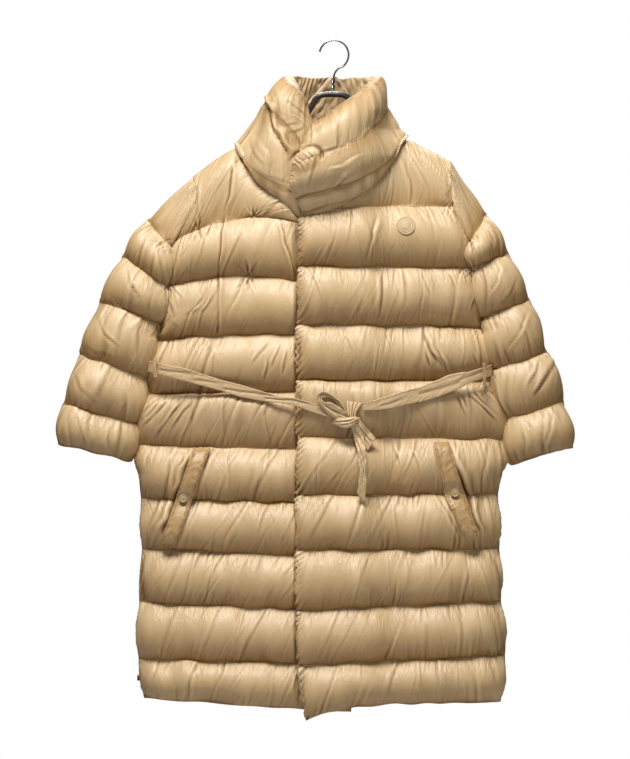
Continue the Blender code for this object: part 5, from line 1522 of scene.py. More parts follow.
def nylon(name, strength=1.0):
    """Satin nylon, fine weave and small wrinkles: painted highlight on ridges, painted shade in
    troughs and low in each baffle.
    """
    n = Nodes(name)
    uv = n.add("ShaderNodeUVMap", uv_map="cloth").outputs[0]
    fraction = n.attribute("fraction")
    # painted highlight and shade: ridges lighter and troughs darker, by the crease attribute
    level = n.scaled(n.attribute("crease"), 0.085, 0.5, clamp=True)
    colour_with_painted_light = n.ramp(level, [(0.25, NYLON_PAINTED_RIDGE_HIGHLIGHT), (0.5, NYLON_PLAIN), (0.9, NYLON_PAINTED_TROUGH_SHADE)])
    mottle = n.ramp(n.noise(uv, (1, 1, 1), 9.0), [(0.3, (0.88, 0.86, 0.82)), (0.7, (1.0, 1.0, 1.0))])
    colour_with_painted_light = n.multiplied(colour_with_painted_light, mottle, 0.35)
    # painted shade: each baffle darker towards its lower seam, where it faces down
    colour_with_painted_light = n.multiplied(colour_with_painted_light, n.ramp(fraction, BAFFLE_PAINTED_SHADE), 1.0)
    n.link(colour_with_painted_light, n.shader.inputs["Base Color"])
    rough = n.scaled(n.noise(uv, (1, 0.4, 1), 60.0), 0.16, 0.38)
    n.link(rough, n.shader.inputs["Roughness"])
    n.set(n.shader, Sheen_Weight=0.08, Sheen_Roughness=0.4, Sheen_Tint=SHEEN_TINT,
          Specular_IOR_Level=0.6)
    n.link(wrinkled(n, uv, fraction, strength), n.shader.inputs["Normal"])
    return n.material


def wrinkled(n, uv, fraction, strength):
    """The cloth's normal: small wrinkles, most of them near the seams, and the weave."""
    from_middle = n.maths("ABSOLUTE", n.maths("SUBTRACT", fraction, 0.5))
    near_seam = n.maths("POWER", n.maths("MULTIPLY", from_middle, 2.0), 2.0)
    patches = n.noise(uv, (1, 0.7, 1), 14.0, detail=1.0)
    patches = n.maths("MULTIPLY", n.maths("SUBTRACT", patches, 0.42), 5.0, clamp=True)
    mask = n.maths("MULTIPLY", n.scaled(near_seam, 0.6, 0.3), n.scaled(patches, 0.8, 0.2))
    masked = [(wrinkles, mask) for wrinkles in WRINKLES]
    masked += [(EDGE_WRINKLES, n.attribute("edge")), (CRINKLES, None)]
    normal = None
    for wrinkles, share in masked:
        height = n.folds(uv, wrinkles)
        if share is not None:
            height = n.maths("MULTIPLY", height, share)
        normal = n.bump(height, wrinkles.depth * strength, normal)
    weave = n.noise(uv, (1, 1, 1), WEAVE_SCALE, detail=1.0)
    return n.bump(weave, WEAVE_DEPTH, normal)


def plain(name, colour, roughness, metallic, noise_size, depth):
    """Plastic, wire or tape: faint mottling in its colour, its gloss and its surface."""
    n = Nodes(name)
    noise = n.noise(n.add("ShaderNodeTexCoord").outputs["Object"], (1, 1, 1), noise_size)
    darker = tuple(0.8 * value for value in colour)
    n.link(n.ramp(noise, [(0.3, darker), (0.7, colour)]), n.shader.inputs["Base Color"])
    n.link(n.scaled(noise, 0.15, roughness - 0.07), n.shader.inputs["Roughness"])
    n.set(n.shader, Metallic=metallic)
    n.link(n.bump(noise, depth), n.shader.inputs["Normal"])
    return n.material


# ---------------------------------------------------------------- light and floor
WORLD_LIGHT, WORLD_SEEN = 0.06, 1.0
WORLD_TINT, WHITE = (1.0, 0.84, 0.62, 1.0), (1.0, 1.0, 1.0, 1.0)
LIT_PLACE = (-0.03, 0.0, -0.62)
Light = namedtuple("Light", "name place width height power colour")
LIGHTS = rows(
    Light, ("key", (-0.6, -2.1, 2.9), 2.2, 1.2, 250.0, (1.0, 0.98, 0.95)),
    ("fill", (0.9, -3.6, 0.7), 2.0, 1.4, 17.0, (1.0, 0.97, 0.93)),
    ("rim", (0.6, 2.4, 2.6), 2.0, 1.2, 100.0, (1.0, 0.98, 0.96)))
FLOOR_SIZE, FLOOR_HEIGHT = 6.0, -2.2
FLOOR_COLOUR = (0.8, 0.8, 0.8)


def add_light(row):
    data = bpy.data.lights.new(row.name, "AREA")
    data.shape, data.size, data.size_y = "RECTANGLE", row.width, row.height
    data.energy, data.color = row.power, row.colour
    light = bpy.data.objects.new(row.name, data)
    bpy.context.scene.collection.objects.link(light)
    light.location = row.place
    aim = Vector(LIT_PLACE) - Vector(row.place)
    light.rotation_euler = aim.to_track_quat("-Z", "Y").to_euler()


def add_world():
    """A dim warm world that the camera sees as plain white."""
    world = bpy.data.worlds.new("studio")
    bpy.context.scene.world = world
    world.use_nodes = True
    tree = world.node_tree
    background = tree.nodes["Background"]
    seen_straight = tree.nodes.new("ShaderNodeLightPath").outputs["Is Camera Ray"]
    colour = tree.nodes.new("ShaderNodeMix")
    colour.data_type = "RGBA"
    colour.inputs["A"].default_value = WORLD_TINT
    colour.inputs["B"].default_value = WHITE
    tree.links.new(seen_straight, colour.inputs["Factor"])
    tree.links.new(colour.outputs["Result"], background.inputs["Color"])
    strength = tree.nodes.new("ShaderNodeMapRange")
    strength.inputs["To Min"].default_value = WORLD_LIGHT
    strength.inputs["To Max"].default_value = WORLD_SEEN
    tree.links.new(seen_straight, strength.inputs["Value"])
    tree.links.new(strength.outputs[0], background.inputs["Strength"])


def add_floor():
    bpy.ops.mesh.primitive_plane_add(size=FLOOR_SIZE, location=(0, 0, FLOOR_HEIGHT))
    floor = bpy.context.object
    floor.name = "floor"
    floor.data.materials.append(plain("floor", FLOOR_COLOUR, 0.6, 0.0, 120.0, 0.0002))


# ---------------------------------------------------------------- folds and pinched places
# places are the photograph's pixels
RIGHT_FOLDS = rows(
    Fold, (((233, 160), (229, 198), (223, 232), (219, 285), (218, 340)), 3.8, 2.8),
    (((218, 336), (211, 345), (204, 370), (200, 395), (190, 428)), 3.0, 5.0),
    (((279, 216), (288, 250), (298, 284)), 3.0, -2.6),
    (((192, 449), (188, 466), (176, 498), (169, 520), (160, 538)), 9.0, -5.5),
    (((212, 449), (196, 500), (177, 548)), 1.6, 3.0),
    (((197, 178), (197, 200), (198, 222)), 2.0, 4.0))
LEFT_FOLDS = rows(
    Fold, (((449, 165), (452, 203)), 2.5, 3.5), (((457, 172), (461, 210)), 2.0, 3.0),
    (((384, 268), (381, 300), (378, 322)), 3.4, -4.0),
    (((422, 330), (430, 352), (446, 372)), 4.0, 4.5),
    (((378, 212), (371, 240), (364, 264)), 3.4, 4.0),
    (((449, 442), (452, 462), (461, 482), (468, 500), (476, 520), (482, 536)), 9.0, 5.5),
    (((432, 441), (438, 474), (437, 494), (462, 544)), 1.6, -3.0))
COLLAR_FOLDS = rows(
    Fold, (((261, 88), (268, 112), (273, 130), (283, 146), (293, 165)), 8.0, 5.0),
    (((266, 176), (280, 183), (296, 188)), 2.0, 2.6),
    (((272, 186), (284, 192), (299, 196)), 2.2, 2.8),
    (((276, 120), (286, 126), (300, 124)), 1.8, 2.4),
    (((284, 100), (296, 110), (308, 121)), 2.6, 3.0),
    (((287, 112), (299, 118), (311, 127)), 2.4, -2.6),
    (((291, 92), (302, 101), (313, 112)), 2.2, 2.6),
    (((284, 135), (296, 133), (306, 128)), 2.0, 2.6),
    (((303, 150), (312, 135), (326, 122)), 1.6, 3.0),
    (((312, 200), (336, 190), (358, 174)), 2.6, 3.4),
    (((318, 158), (334, 151), (352, 149)), 1.8, 3.2),
    (((322, 172), (342, 166), (366, 152)), 1.6, -4.0),
    (((340, 108), (352, 98), (368, 92)), 1.8, 4.0), (((271, 88), (277, 100), (279, 116)), 1.8, 4.5),
    (((248, 140), (256, 158), (268, 172)), 1.8, 5.0),
    (((252, 128), (263, 146), (276, 162)), 1.6, -5.0))
LEFT_SLEEVE_FOLDS = rows(
    Fold, (((530, 400), (541, 384), (552, 366), (560, 354)), 4.6, 4.5),
    (((541, 356), (534, 372), (524, 392)), 3.0, -3.6),
    (((552, 412), (546, 434), (541, 452)), 2.4, 3.0),
    (((520, 425), (524, 446), (523, 462)), 2.2, 3.0),
    (((500, 262), (496, 282), (484, 300)), 2.6, 3.2),
    (((517, 276), (508, 296), (493, 314)), 2.4, -3.2),
    (((529, 308), (520, 330), (503, 352)), 2.6, 3.4),
    (((486, 222), (492, 240), (489, 256)), 2.2, 3.0))
RIGHT_SLEEVE_FOLDS = rows(
    Fold, (((128, 262), (131, 284), (146, 303)), 2.6, 3.2),
    (((108, 290), (118, 306), (138, 318)), 2.0, -3.2),
    (((96, 312), (106, 334), (124, 352)), 2.6, 3.4), (((86, 346), (98, 354), (118, 360)), 1.8, 3.0),
    (((73, 372), (84, 390), (102, 404)), 2.4, 3.4), (((76, 410), (84, 430), (88, 448)), 2.2, 3.0),
    (((112, 420), (109, 440), (112, 456)), 2.2, -3.0))
# drag lines: from one pixel to another, and how deep
RIGHT_DRAGS = ((193, 241, 200, 229, 2.5), (162, 312, 184, 332, 1.8), (160, 304, 172, 316, 1.8),
               (204, 314, 217, 292, 2.6), (195, 307, 208, 292, 2.2), (271, 341, 251, 366, 2.6),
               (269, 357, 264, 384, 2.4), (282, 341, 269, 371, 2.6), (288, 348, 282, 379, 2.0),
               (171, 397, 143, 429, 3.4), (184, 399, 154, 439, 3.6), (195, 398, 171, 431, 3.6),
               (198, 408, 180, 440, 3.0), (162, 396, 143, 413, 2.8), (269, 400, 264, 418, 2.0),
               (150, 450, 147, 470, 2.0), (172, 288, 190, 270, 2.4), (176, 262, 190, 247, 2.0),
               (168, 297, 176, 318, 2.2), (246, 218, 238, 236, 1.8), (160, 400, 146, 421, 2.4))
LEFT_DRAGS = ((424, 348, 431, 369, 3.0), (436, 348, 448, 375, 3.6), (430, 350, 438, 366, 2.4),
              (463, 390, 496, 421, 3.6), (480, 402, 498, 423, 3.2), (454, 391, 466, 416, 3.0),
              (488, 388, 501, 396, 2.4), (484, 390, 497, 405, 2.8), (482, 392, 487, 405, 2.4),
              (460, 392, 470, 410, 2.0), (470, 390, 488, 405, 2.4), (470, 352, 478, 366, 2.0),
              (345, 334, 352, 352, 1.8), (392, 440, 402, 470, 2.6), (408, 440, 421, 476, 2.6),
              (340, 470, 327, 488, 2.0), (480, 250, 484, 272, 2.4), (476, 290, 470, 312, 2.4),
              (384, 330, 391, 352, 2.0), (420, 272, 431, 300, 2.2), (448, 272, 454, 292, 2.0))
DRAG_FOLD_WIDTH = 2.6
# tufts: the baffle, the pixel of the pinched place, and whether it is on the upper seam
RIGHT_TUFTS = ((0, 255, 215, False), (1, 249, 273, False), (2, 249, 275, True), (1, 200, 228, True),
               (2, 172, 290, True), (0, 200, 224, False))
LEFT_TUFTS = ((1, 449, 209, True), (2, 462, 268, True), (0, 450, 205, False), (3, 479, 330, True),
              (4, 484, 384, True))
RIGHT_PINCHES = rows(
    Pinch, (162, 244, 3.2, 17), (197, 227, 2.4, 14), (168, 288, 2.2, 15),
    (157, 330, 2.0, 13), (254, 217, 2.0, 13), (249, 275, 2.2, 14))
LEFT_PINCHES = rows(
    Pinch, (452, 206, 2.4, 14), (470, 244, 3.2, 18), (472, 271, 2.4, 16),
    (482, 319, 2.2, 15), (490, 371, 2.4, 16))
COLLAR_RUFFLE = (306.0, 163.0)
# calm spans along a baffle, by its number
LEFT_SMOOTH = ((1, ((120, 200),)), (2, ((110, 190),)), (3, ((-190, -60),)))
RIGHT_SMOOTH = ((1, ((-60, 60),)), (2, ((-140, 20),)), (3, ((-90, 60),)))
CAP_SMOOTH = ((0, ((-500, 500),)),)
SEED = 40


def drags(table):
    """Short straight folds, each a trough with its ridge on the upper side."""
    return tuple(Fold(((x1, y1), (x2, y2)), depth, DRAG_FOLD_WIDTH if x2 > x1 else -DRAG_FOLD_WIDTH)
                 for x1, y1, x2, y2, depth in table)


def across_at(padding, px, py):
    """How far along its row the panel's point lies that the photograph shows at a pixel."""
    x, z = on_coat(px, py)
    away = (padding.outer[:, :, 0] - x) ** 2 + (padding.outer[:, :, 2] - z) ** 2
    row, column = np.unravel_index(np.argmin(away), away.shape)
    return padding.across[row, column]


def tufts_of(padding, tufts, seed):
    """The creases that a panel's tufts add to a baffle."""
    rng = np.random.default_rng(seed)

    def extra(number):
        found = []
        for where, px, py, from_top in tufts:
            if where == number:
                found += tuft(across_at(padding, px, py), from_top, rng)
        return found
    return extra


def dress(piece, material, slot, *nodes):
    """Give a piece its material, the body it rides on and the nodes it replaces; slot is not used."""
    piece.data.materials.clear()
    piece.data.materials.append(material)
    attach(piece, "root")
    if nodes:
        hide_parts(*nodes)
    return piece


def padded_piece(name, padding, seed, shell, every=INSIDE_EVERY, **gathers):
    points, depth = gather(padding, np.random.default_rng(seed), **gathers)
    piece = padded_mesh(name + "_cloth", padding, points, depth, every)
    dress(piece, shell, "nylon", name)
    return piece


def add_coat():
    """The quilted panels, the sleeves and the collar; returns those that the belt lies on."""
    shell = nylon("shell_nylon")
    left_armhole = Armhole(LEFT_ARMHOLE, LEFT_SHOULDER, 0.19)
    right_armhole = Armhole(RIGHT_ARMHOLE, RIGHT_SHOULDER, 0.26)
    left_front = front_padding(1, LEFT_SEAMS, LEFT_OPEN_EDGE, LEFT_NECK, LEFT_SHOULDER, LEFT_SIDE,
                               left_armhole)
    right_front = front_padding(-1, RIGHT_SEAMS, RIGHT_OPEN_EDGE, RIGHT_NECK, RIGHT_SHOULDER,
                                RIGHT_SIDE, right_armhole)
    back = back_padding(left_armhole, right_armhole)
    left_sleeve = sleeve_padding(1, LEFT_SLEEVE, left_armhole)
    right_sleeve = sleeve_padding(-1, RIGHT_SLEEVE, right_armhole)
    for padding in (left_front, right_front, back, left_sleeve, right_sleeve):
        soften_yoke(padding)
        lower_shoulder(padding)
    neck_roll = collar_padding(left_front, back, right_front)
    panels = [
        padded_piece("front_left", left_front, SEED, shell, lean=fan_lean(left_front, 0.3, 0.3, -0.22),
                     extra=tufts_of(left_front, LEFT_TUFTS, 1), smooth=LEFT_SMOOTH,
                     folds=LEFT_FOLDS + drags(LEFT_DRAGS), puckers=(0.0, 1.8), open_edge=2.0,
                     pinches=LEFT_PINCHES),
        padded_piece("front_right", right_front, SEED + 1, shell,
                     lean=fan_lean(right_front, -0.15, 0.2, 0.38),
                     extra=tufts_of(right_front, RIGHT_TUFTS, 2), smooth=RIGHT_SMOOTH,
                     folds=RIGHT_FOLDS + drags(RIGHT_DRAGS), puckers=(0.0, 2.0),
                     pinches=RIGHT_PINCHES),
        padded_piece("back_panel", back, SEED + 2, shell, lean=fan_lean(back, 0.3),
                     puckers=(1.6, 1.6))]
    for name, sleeve, seed, folds, pinches in (
            ("sleeve_left", left_sleeve, SEED + 3, LEFT_SLEEVE_FOLDS, LEFT_PINCHES),
            ("sleeve_right", right_sleeve, SEED + 4, RIGHT_SLEEVE_FOLDS, RIGHT_PINCHES)):
        padded_piece(name, sleeve, seed, shell, lean=fan_lean(sleeve, 0.1), puckers=(1.6, 1.6),
                     folds=folds, smooth=CAP_SMOOTH, pinches=pinches)
    padded_piece("collar", neck_roll, SEED + 5, shell, every=1, lean=fan_lean(neck_roll, 0.0),
                 pleats=0.25, drags=0.4, folds=COLLAR_FOLDS, ruffle_at=COLLAR_RUFFLE, evenness=0.45)
    return Shown(panels)


# ---------------------------------------------------------------- the belt round the coat
BELT_STEP, BELT_TURNS, BELT_POINT_STEP = 16.0, 15, 1.6
BELT_ENDS = (215.0, -262.0)
BELT_WIDTH, BELT_CLEARANCE = 21.0, 1.4
BELT_LEVELS = rows(
    Place, (-330, -596), (-302, -608), (-245, -626), (-172, -645), (-124, -662), (-69, -675),
    (0, -696), (48, -684), (109, -666), (177, -647), (235, -627), (268, -612), (300, -603))
BELT_BACK_LEVEL = -604.0
KNOT = Place(24, -703)
KNOT_HALF = 24.0
# the belt's upper and lower edges in the photograph
BeltAt = namedtuple("BeltAt", "x top low")
RIGHT_RUN = rows(
    BeltAt, (161, 362, 374.5), (175.5, 365.3, 379), (203.6, 374.2, 386), (221.4, 380, 391),
    (240, 384.5, 397), (258, 390, 400.4), (277.5, 396, 402.8), (294, 397.8, 405.5),
    (309, 402.3, 411), (321, 404.8, 415), (333.7, 410, 419))
LEFT_RUN = rows(
    BeltAt, (359, 403.5, 411), (366, 402.5, 410.5), (374.6, 400.3, 410.5), (391, 395, 408.5),
    (407.8, 389.5, 404.5), (420, 386.5, 402), (430, 382.5, 399.5), (439, 379.4, 396.5),
    (447.7, 375.2, 393.3), (457.4, 373, 389.5), (466.5, 370, 385.5), (475.6, 366.4, 383),
    (481.7, 363, 380.5), (488, 357, 374))
# folds of a band: from a place and a share of the width to another, depth and width
RIGHT_RUN_FOLDS = ((38, 0.85, 125, 0.3, 1.9, 0.2), (105, 0.8, 205, 0.25, 1.7, 0.2),
                   (215, 0.6, 262, 0.3, 1.3, 0.16), (265, 0.7, 330, 0.4, 1.4, 0.18))
LEFT_RUN_FOLDS = ((20, 0.7, 95, 0.5, 1.2, 0.2), (80, 0.35, 165, 0.55, 1.6, 0.2),
                  (190, 0.5, 240, 0.3, 1.2, 0.16))
BACK_RUN_FOLDS = ((30, 0.8, 200, 0.3, 1.2, 0.1), (180, 0.2, 390, 0.6, 1.2, 0.1),
                  (350, 0.8, 560, 0.5, 1.2, 0.1))
HEM_RIDGE, HEM_PLACE, HEM_WIDTH = 0.9, 0.96, 0.06        # along the belt's upper edge


def belt_ring(body):
    """Middle of the belt all round the coat, and which way it faces there."""
    left_end, right_end = BELT_ENDS
    turns = np.linspace(0, pi, BELT_TURNS)
    stations = [(x, 0.0, -1.0) for x in np.arange(left_end, right_end, -BELT_STEP)]
    stations += [(right_end, -sin(turn), -cos(turn)) for turn in turns]
    stations += [(x, 0.0, 1.0) for x in np.arange(right_end + BELT_STEP, left_end, BELT_STEP)]
    stations += [(left_end, sin(turn), -cos(turn)) for turn in np.linspace(pi, 0, BELT_TURNS)[:-1]]
    reaches, centres, ways = [], [], []
    for x, way_x, way_y in stations:
        way = np.array([way_x, way_y, 0.0])
        front_x = np.clip(x + way_x * 60, BELT_LEVELS[0].x, BELT_LEVELS[-1].x)
        front = along(BELT_LEVELS, front_x, "x", "z")
        z = float(blend(BELT_BACK_LEVEL, front, soft_step(0.2, -0.6, way_y)))
        found = []
        for rise in np.linspace(-0.5, 0.5, 5) * (BELT_WIDTH + 6):
            start = np.array([x, 0.8, z + rise]) + way * FAR_OFF
            spot = body.hit(start, -way)
            if spot is not None:
                found.append(FAR_OFF - np.linalg.norm(spot - start))
        reaches.append(max(found))
        centres.append((x, 0, z))
        ways.append(way)
    for pick in (np.max, np.mean):     # a taut belt spans the valleys
        reaches = pick([np.roll(reaches, shift) for shift in (-2, -1, 0, 1, 2)], axis=0)
    reaches = reaches + BELT_CLEARANCE + CLOTH_WALL / 2
    ways = np.array(ways)
    return np.array(centres) + ways * reaches[:, None], ways


def belt_stretch(ring, ways, chosen):
    """The chosen part of the ring, in order, as many close points."""
    picks = np.nonzero(chosen)[0]
    breaks = np.nonzero(np.diff(picks) > 1)[0]
    if len(breaks):
        picks = np.roll(picks, -(breaks[0] + 1))
    length = walked(ring[picks])
    at = np.linspace(0, length[-1], int(length[-1] / BELT_POINT_STEP))
    points, facing = (curve_through(grid[picks], at, length) for grid in (ring, ways))
    return points, unit(facing), at


def run_edges(points, facing, table):
    """Lower and upper edge of a stretch, as the photograph shows them where it does."""
    upright = np.array([0, 0, BELT_WIDTH / 2])
    if not table:
        return points - upright, points + upright
    low, high = points.copy(), points.copy()
    for k, (x, y, _) in enumerate(points):
        px = pixel_across(x, y)
        for line, key in ((low, "low"), (high, "top")):
            line[k, 2] = seen(px, straight_along(table, px, key), y)[1]
    turned = soft_step(-0.995, -0.85, facing[:, 1])[:, None]
    return blend(low, points - upright, turned), blend(high, points + upright, turned)


def pixel_across(x, y):
    """The pixel, counted across, that shows a point at x and depth y."""
    return PHOTO_WIDTH / 2 + (x - on_coat(PHOTO_WIDTH / 2, 0)[0]) / pixel_size(y)


def add_belt(ring, ways, band):
    """The belt's three stretches, and the line of stitches along each."""
    lines = []
    at_front = ways[:, 1] < -0.05
    for name, chosen, table, folds in (
            ("belt_front_right", at_front & (ring[:, 0] < KNOT.x - KNOT_HALF), RIGHT_RUN,
             RIGHT_RUN_FOLDS),
            ("belt_front_left", at_front & (ring[:, 0] > KNOT.x + KNOT_HALF), LEFT_RUN,
             LEFT_RUN_FOLDS),
            ("belt_back", ways[:, 1] > 0.05, None, BACK_RUN_FOLDS)):
        points, facing, at = belt_stretch(ring, ways, chosen)
        low, high = run_edges(points, facing, table)
        rng = np.random.default_rng(len(name) * 7 + int(points[0, 0] > 0))
        shares = np.linspace(0, 1, BAND_COLUMNS)
        across_mm = shares[None, :] * np.linalg.norm(high - low, axis=-1)[:, None]
        relief = crumple(rng, at[:, None] + 0 * across_mm, across_mm, 12.0, 0.22, 2.0, 0.8)
        relief = np.maximum(relief + band_folds(at, shares, folds), -CLOTH_WALL / 2)
        relief += HEM_RIDGE * np.exp(-((shares - HEM_PLACE) / HEM_WIDTH) ** 2)[None, :]
        piece, outer = cloth_band(name + "_band", low, high, facing[:, None], relief)
        dress(piece, band, "nylon", name)
        lines.append(line_on(outer, 0.88))
    return lines


# ---------------------------------------------------------------- the belt's knot and its ends
BOW = rows(
    Rung, (348, 416, 4, 347, 413, 12), (341, 405.5, 3, 340, 402.5, 15),
    (332, 398, 4, 331.5, 395, 17), (323.5, 395.5, 5, 323, 391.3, 17),
    (320.5, 397, 8, 317.2, 395.5, 17), (324, 402, 13, 318.3, 402.6, 13),
    (329.5, 402, 15, 323, 409.5, 9), (336, 405, 15, 329, 414.8, 8),
    (342.5, 409.5, 13, 336.5, 419, 7), (349, 415.5, 9, 344, 421.5, 6))
WRAP = rows(
    Rung, (331.5, 424, -2, 333, 416.5, -2), (335.5, 425.5, 5, 335.5, 417, 6),
    (341, 427.8, 13, 342, 417.5, 14), (348, 428.3, 17, 348.5, 417, 17),
    (353.5, 426.3, 15, 354, 416.5, 14), (357.6, 423.5, 8, 358, 416.5, 7),
    (360, 421.5, -2, 360, 417, -2))
PLEAT = rows(
    Rung, (348.5, 420, 8, 356, 420, 8), (347.5, 413, 8, 356.5, 413, 8),
    (346.8, 406, 5, 359, 408, 6), (346.6, 400.8, 1, 362.5, 403.6, 2))
SHORT_TAIL = rows(
    Rung, (353.5, 425, 6, 358, 417.5, 8), (357, 433, 7, 363.6, 424.5, 8),
    (361.5, 442.5, 6, 370, 431.5, 6), (367.8, 450.8, 4, 375.8, 438.2, 4))
LONG_TAIL = rows(
    Rung, (350.5, 424, 12, 357.5, 424, 12), (352.3, 431, 8, 360.5, 429.5, 9),
    (354.2, 439, 5, 363.3, 436.5, 7), (357, 450.5, 4, 365.8, 449, 6), (358, 463, 4, 366.4, 463, 5),
    (359.6, 471.5, 4, 366.2, 471, 5), (358.2, 482, 4, 366.6, 483, 4),
    (357.2, 494, 3, 364.6, 501.3, 3))
# the crumpling of a tied piece, its folds at hundredths of its length, and the node it replaces
Tied = namedtuple("Tied", "name rungs on_coat pitch depth bulge stretch folds nodes")
TIED = rows(
    Tied,
    ("belt_bow_loop", BOW, False, 5.0, 0.75, 0.0, 2.2,
     ((35, 0.3, 95, 0.7, 1.6, 0.12), (50, 0.75, 100, 0.35, 1.4, 0.1),
      (5, 0.5, 60, 0.4, 1.0, 0.12)), ("belt_bow",)),
    ("belt_knot_wrap", WRAP, False, 6.0, 0.5, 4.0, 2.2,
     ((5, 0.45, 70, 0.75, 1.8, 0.09), (30, 0.3, 95, 0.6, 1.6, 0.08),
      (20, 0.75, 85, 0.55, 1.2, 0.07)), ("belt_knot",)),
    ("belt_knot_pleat", PLEAT, False, 6.0, 0.4, 0.0, 2.2,
     ((0, 0.3, 100, 0.2, 2.2, 0.08), (0, 0.5, 100, 0.5, 2.4, 0.08),
      (0, 0.7, 100, 0.75, 2.2, 0.08)), ()),
    ("belt_tail_short_band", SHORT_TAIL, True, 7.0, 0.45, 0.0, 2.2,
     ((5, 0.5, 95, 0.6, 1.6, 0.09), (20, 0.2, 90, 0.35, 1.2, 0.08)), ("belt_tail_short",)),
    ("belt_tail_long_band", LONG_TAIL, True, 7.5, 0.8, 0.0, 1.2,
     ((8, 0.25, 40, 0.85, 1.8, 0.12), (30, 0.15, 62, 0.8, 1.8, 0.12),
      (50, 0.3, 80, 0.75, 1.6, 0.12), (60, 0.7, 98, 0.4, 1.2, 0.1)), ("belt_tail_long",)))


def tail_base(body, rungs, knot_base):
    """Depth of the coat under each rung of a hanging end, evened out."""
    found = []
    for rung in rungs:
        x, z = seen((rung.x1 + rung.x2) / 2, (rung.y1 + rung.y2) / 2, knot_base)
        found.append(body.foremost(x, z, 9))
    found = np.array(found)
    padded = np.pad(found, 1, mode="edge")
    return (np.minimum(np.minimum(padded[:-2], padded[2:]), found) + found) / 2 - 1.5


def add_knot(body, band):
    """The knot, its pleat, its bow and both hanging ends."""
    knot_base = body.foremost(KNOT.x, KNOT.z, 12) - 3
    rng = np.random.default_rng(5)
    for tied in TIED:
        base = tail_base(body, tied.rungs, knot_base) if tied.on_coat else knot_base
        piece, outer = rung_band(tied.name, tied.rungs, base, rng, tied.pitch, tied.depth,
                                 tied.bulge, tied.folds, tied.stretch)
        dress(piece, band, "nylon", *tied.nodes)
        along_mm, across_mm = measured(outer)


# ---------------------------------------------------------------- belt loops, snaps and stud
LOOP_TURN, LOOP_WIDTH, LOOP_TOP = 0.78, 10.0, 19.0
LOOP_WALL = 1.6
LOOP_LOWS = (("belt_loop_left", 1, -38.0), ("belt_loop_right", -1, -17.0))
SNAP = ((0.01, 2.3), (3.6, 2.2), (4.6, 1.7), (5.3, 1.8), (6.4, 2.7), (7.3, 2.6), (7.9, 1.9),
        (8.0, 0.6), (7.7, -0.6), (0.01, -0.6))


def add_loops(ring, ways, band, cover):
    """The belt's two loops, and the stud on the left one."""
    for name, side, low_end in LOOP_LOWS:
        spot = int(np.argmin(np.abs(ways[:, 0] - side * LOOP_TURN) + 10 * (ways[:, 1] > 0)))
        out = ways[spot]
        rises = np.linspace(LOOP_TOP, low_end, 40)
        beside = unit(np.cross([0, 0, 1.0], out)) * LOOP_WIDTH / 2
        off = CLOTH_WALL + LOOP_WALL + 1.5 * np.sin(np.linspace(0, pi, len(rises)))
        middle = ring[spot] + out * off[:, None] + np.array([0, 0, 1.0]) * rises[:, None]
        rng = np.random.default_rng(8 + side)
        shares = np.linspace(0, 1, 13)
        relief = crumple(rng, rises[:, None] + 0 * shares, shares[None, :] * LOOP_WIDTH, 6.0, 0.9)
        piece, _ = cloth_band(name + "_band", middle - beside, middle + beside, out, relief,
                              LOOP_WALL)
        dress(piece, band, "nylon", name)
        if side > 0:
            centre = middle[-1] + out * LOOP_WALL + np.array([0, 0, 8.0])
            dress(lathe("side_stud_cap", centre, out, SNAP), cover, "nylon", "side_stud")


# ---------------------------------------------------------------- pocket welts and their snaps
WELT_THICKNESS, WELT_EDGE, WELT_CLEARANCE = 6.5, 2.6, 1.0
WELT_END, WELT_FADE = 1.0, 9.0          # over this height its ends run into the coat
WELT_STEP, WELT_COLUMNS = 2.0, 25
WeltAt = namedtuple("WeltAt", "z near far")
LEFT_WELT = rows(
    WeltAt, (-741, 184, 214), (-806, 199, 232), (-841, 206, 244), (-880, 224, 257),
    (-922, 242, 270))
RIGHT_WELT = rows(
    WeltAt, (-752, -258, -226), (-800, -274, -243), (-846, -290, -259), (-890, -305, -274),
    (-928, -318, -290))
WELTS = (("pocket_welt_left", LEFT_WELT, (455, 493)),             # and the pixel of its snap
         ("pocket_welt_right", RIGHT_WELT, (183, 498.5)))


def welt(body, name, table, seed):
    """A lightly padded strip whose two long edges are stitched."""
    rng = np.random.default_rng(seed)
    heights = np.arange(table[0].z, table[-1].z - 0.1, -WELT_STEP)
    shares = np.linspace(0, 1, WELT_COLUMNS)
    x = blend(along(table, heights, value="near")[:, None],
              along(table, heights, value="far")[:, None], shares)
    z = np.repeat(heights[:, None], len(shares), axis=1)
    surface = np.array([body.front_y(*spot) for spot in zip(x.ravel(), z.ravel())]).reshape(x.shape)
    y = surface
    for reach, pick in ((3, np.min), (5, np.mean)):
        y = np.array([pick(y[max(row - reach, 0):row + reach + 1], axis=0)
                      for row in range(len(y))])
    y = (y + y.min(axis=1, keepdims=True)) / 2 - WELT_CLEARANCE
    from_end = np.minimum(heights[0] - z, z - heights[-1])
    y = blend(y, surface, soft_step(WELT_FADE, WELT_END, from_end))
    section = np.minimum(shares, 1 - shares) * 2
    swell = np.minimum(1.0, 0.3 + from_end / 14) * np.clip(section / 0.55, 0, 1) ** 0.5
    groove = np.exp(-((section - 0.2) / 0.07) ** 2)
    from_edge = np.minimum(shares, 1 - shares)[None, :] * (x[:, -1:] - x[:, :1])
    relief = crumple(rng, -z, x, 11.0, 0.6, 0.8, 0.8)
    relief += 1.4 * edge_puckers(rng, np.abs(from_edge), -z, 1.7, 0.5, 6.0, 8.0)
    thickness = WELT_EDGE + (WELT_THICKNESS - WELT_EDGE) * swell - groove + relief
    outer = np.stack([x, y - thickness, z], -1)
    # fraction 0.8 paints the welt darker, with the painted shade of a baffle's lower part
    padding = Padding(outer, np.stack([x, y, z], -1), 0.8, 0)
    return padded_mesh(name, padding, outer, crease_depth(relief - groove)), outer


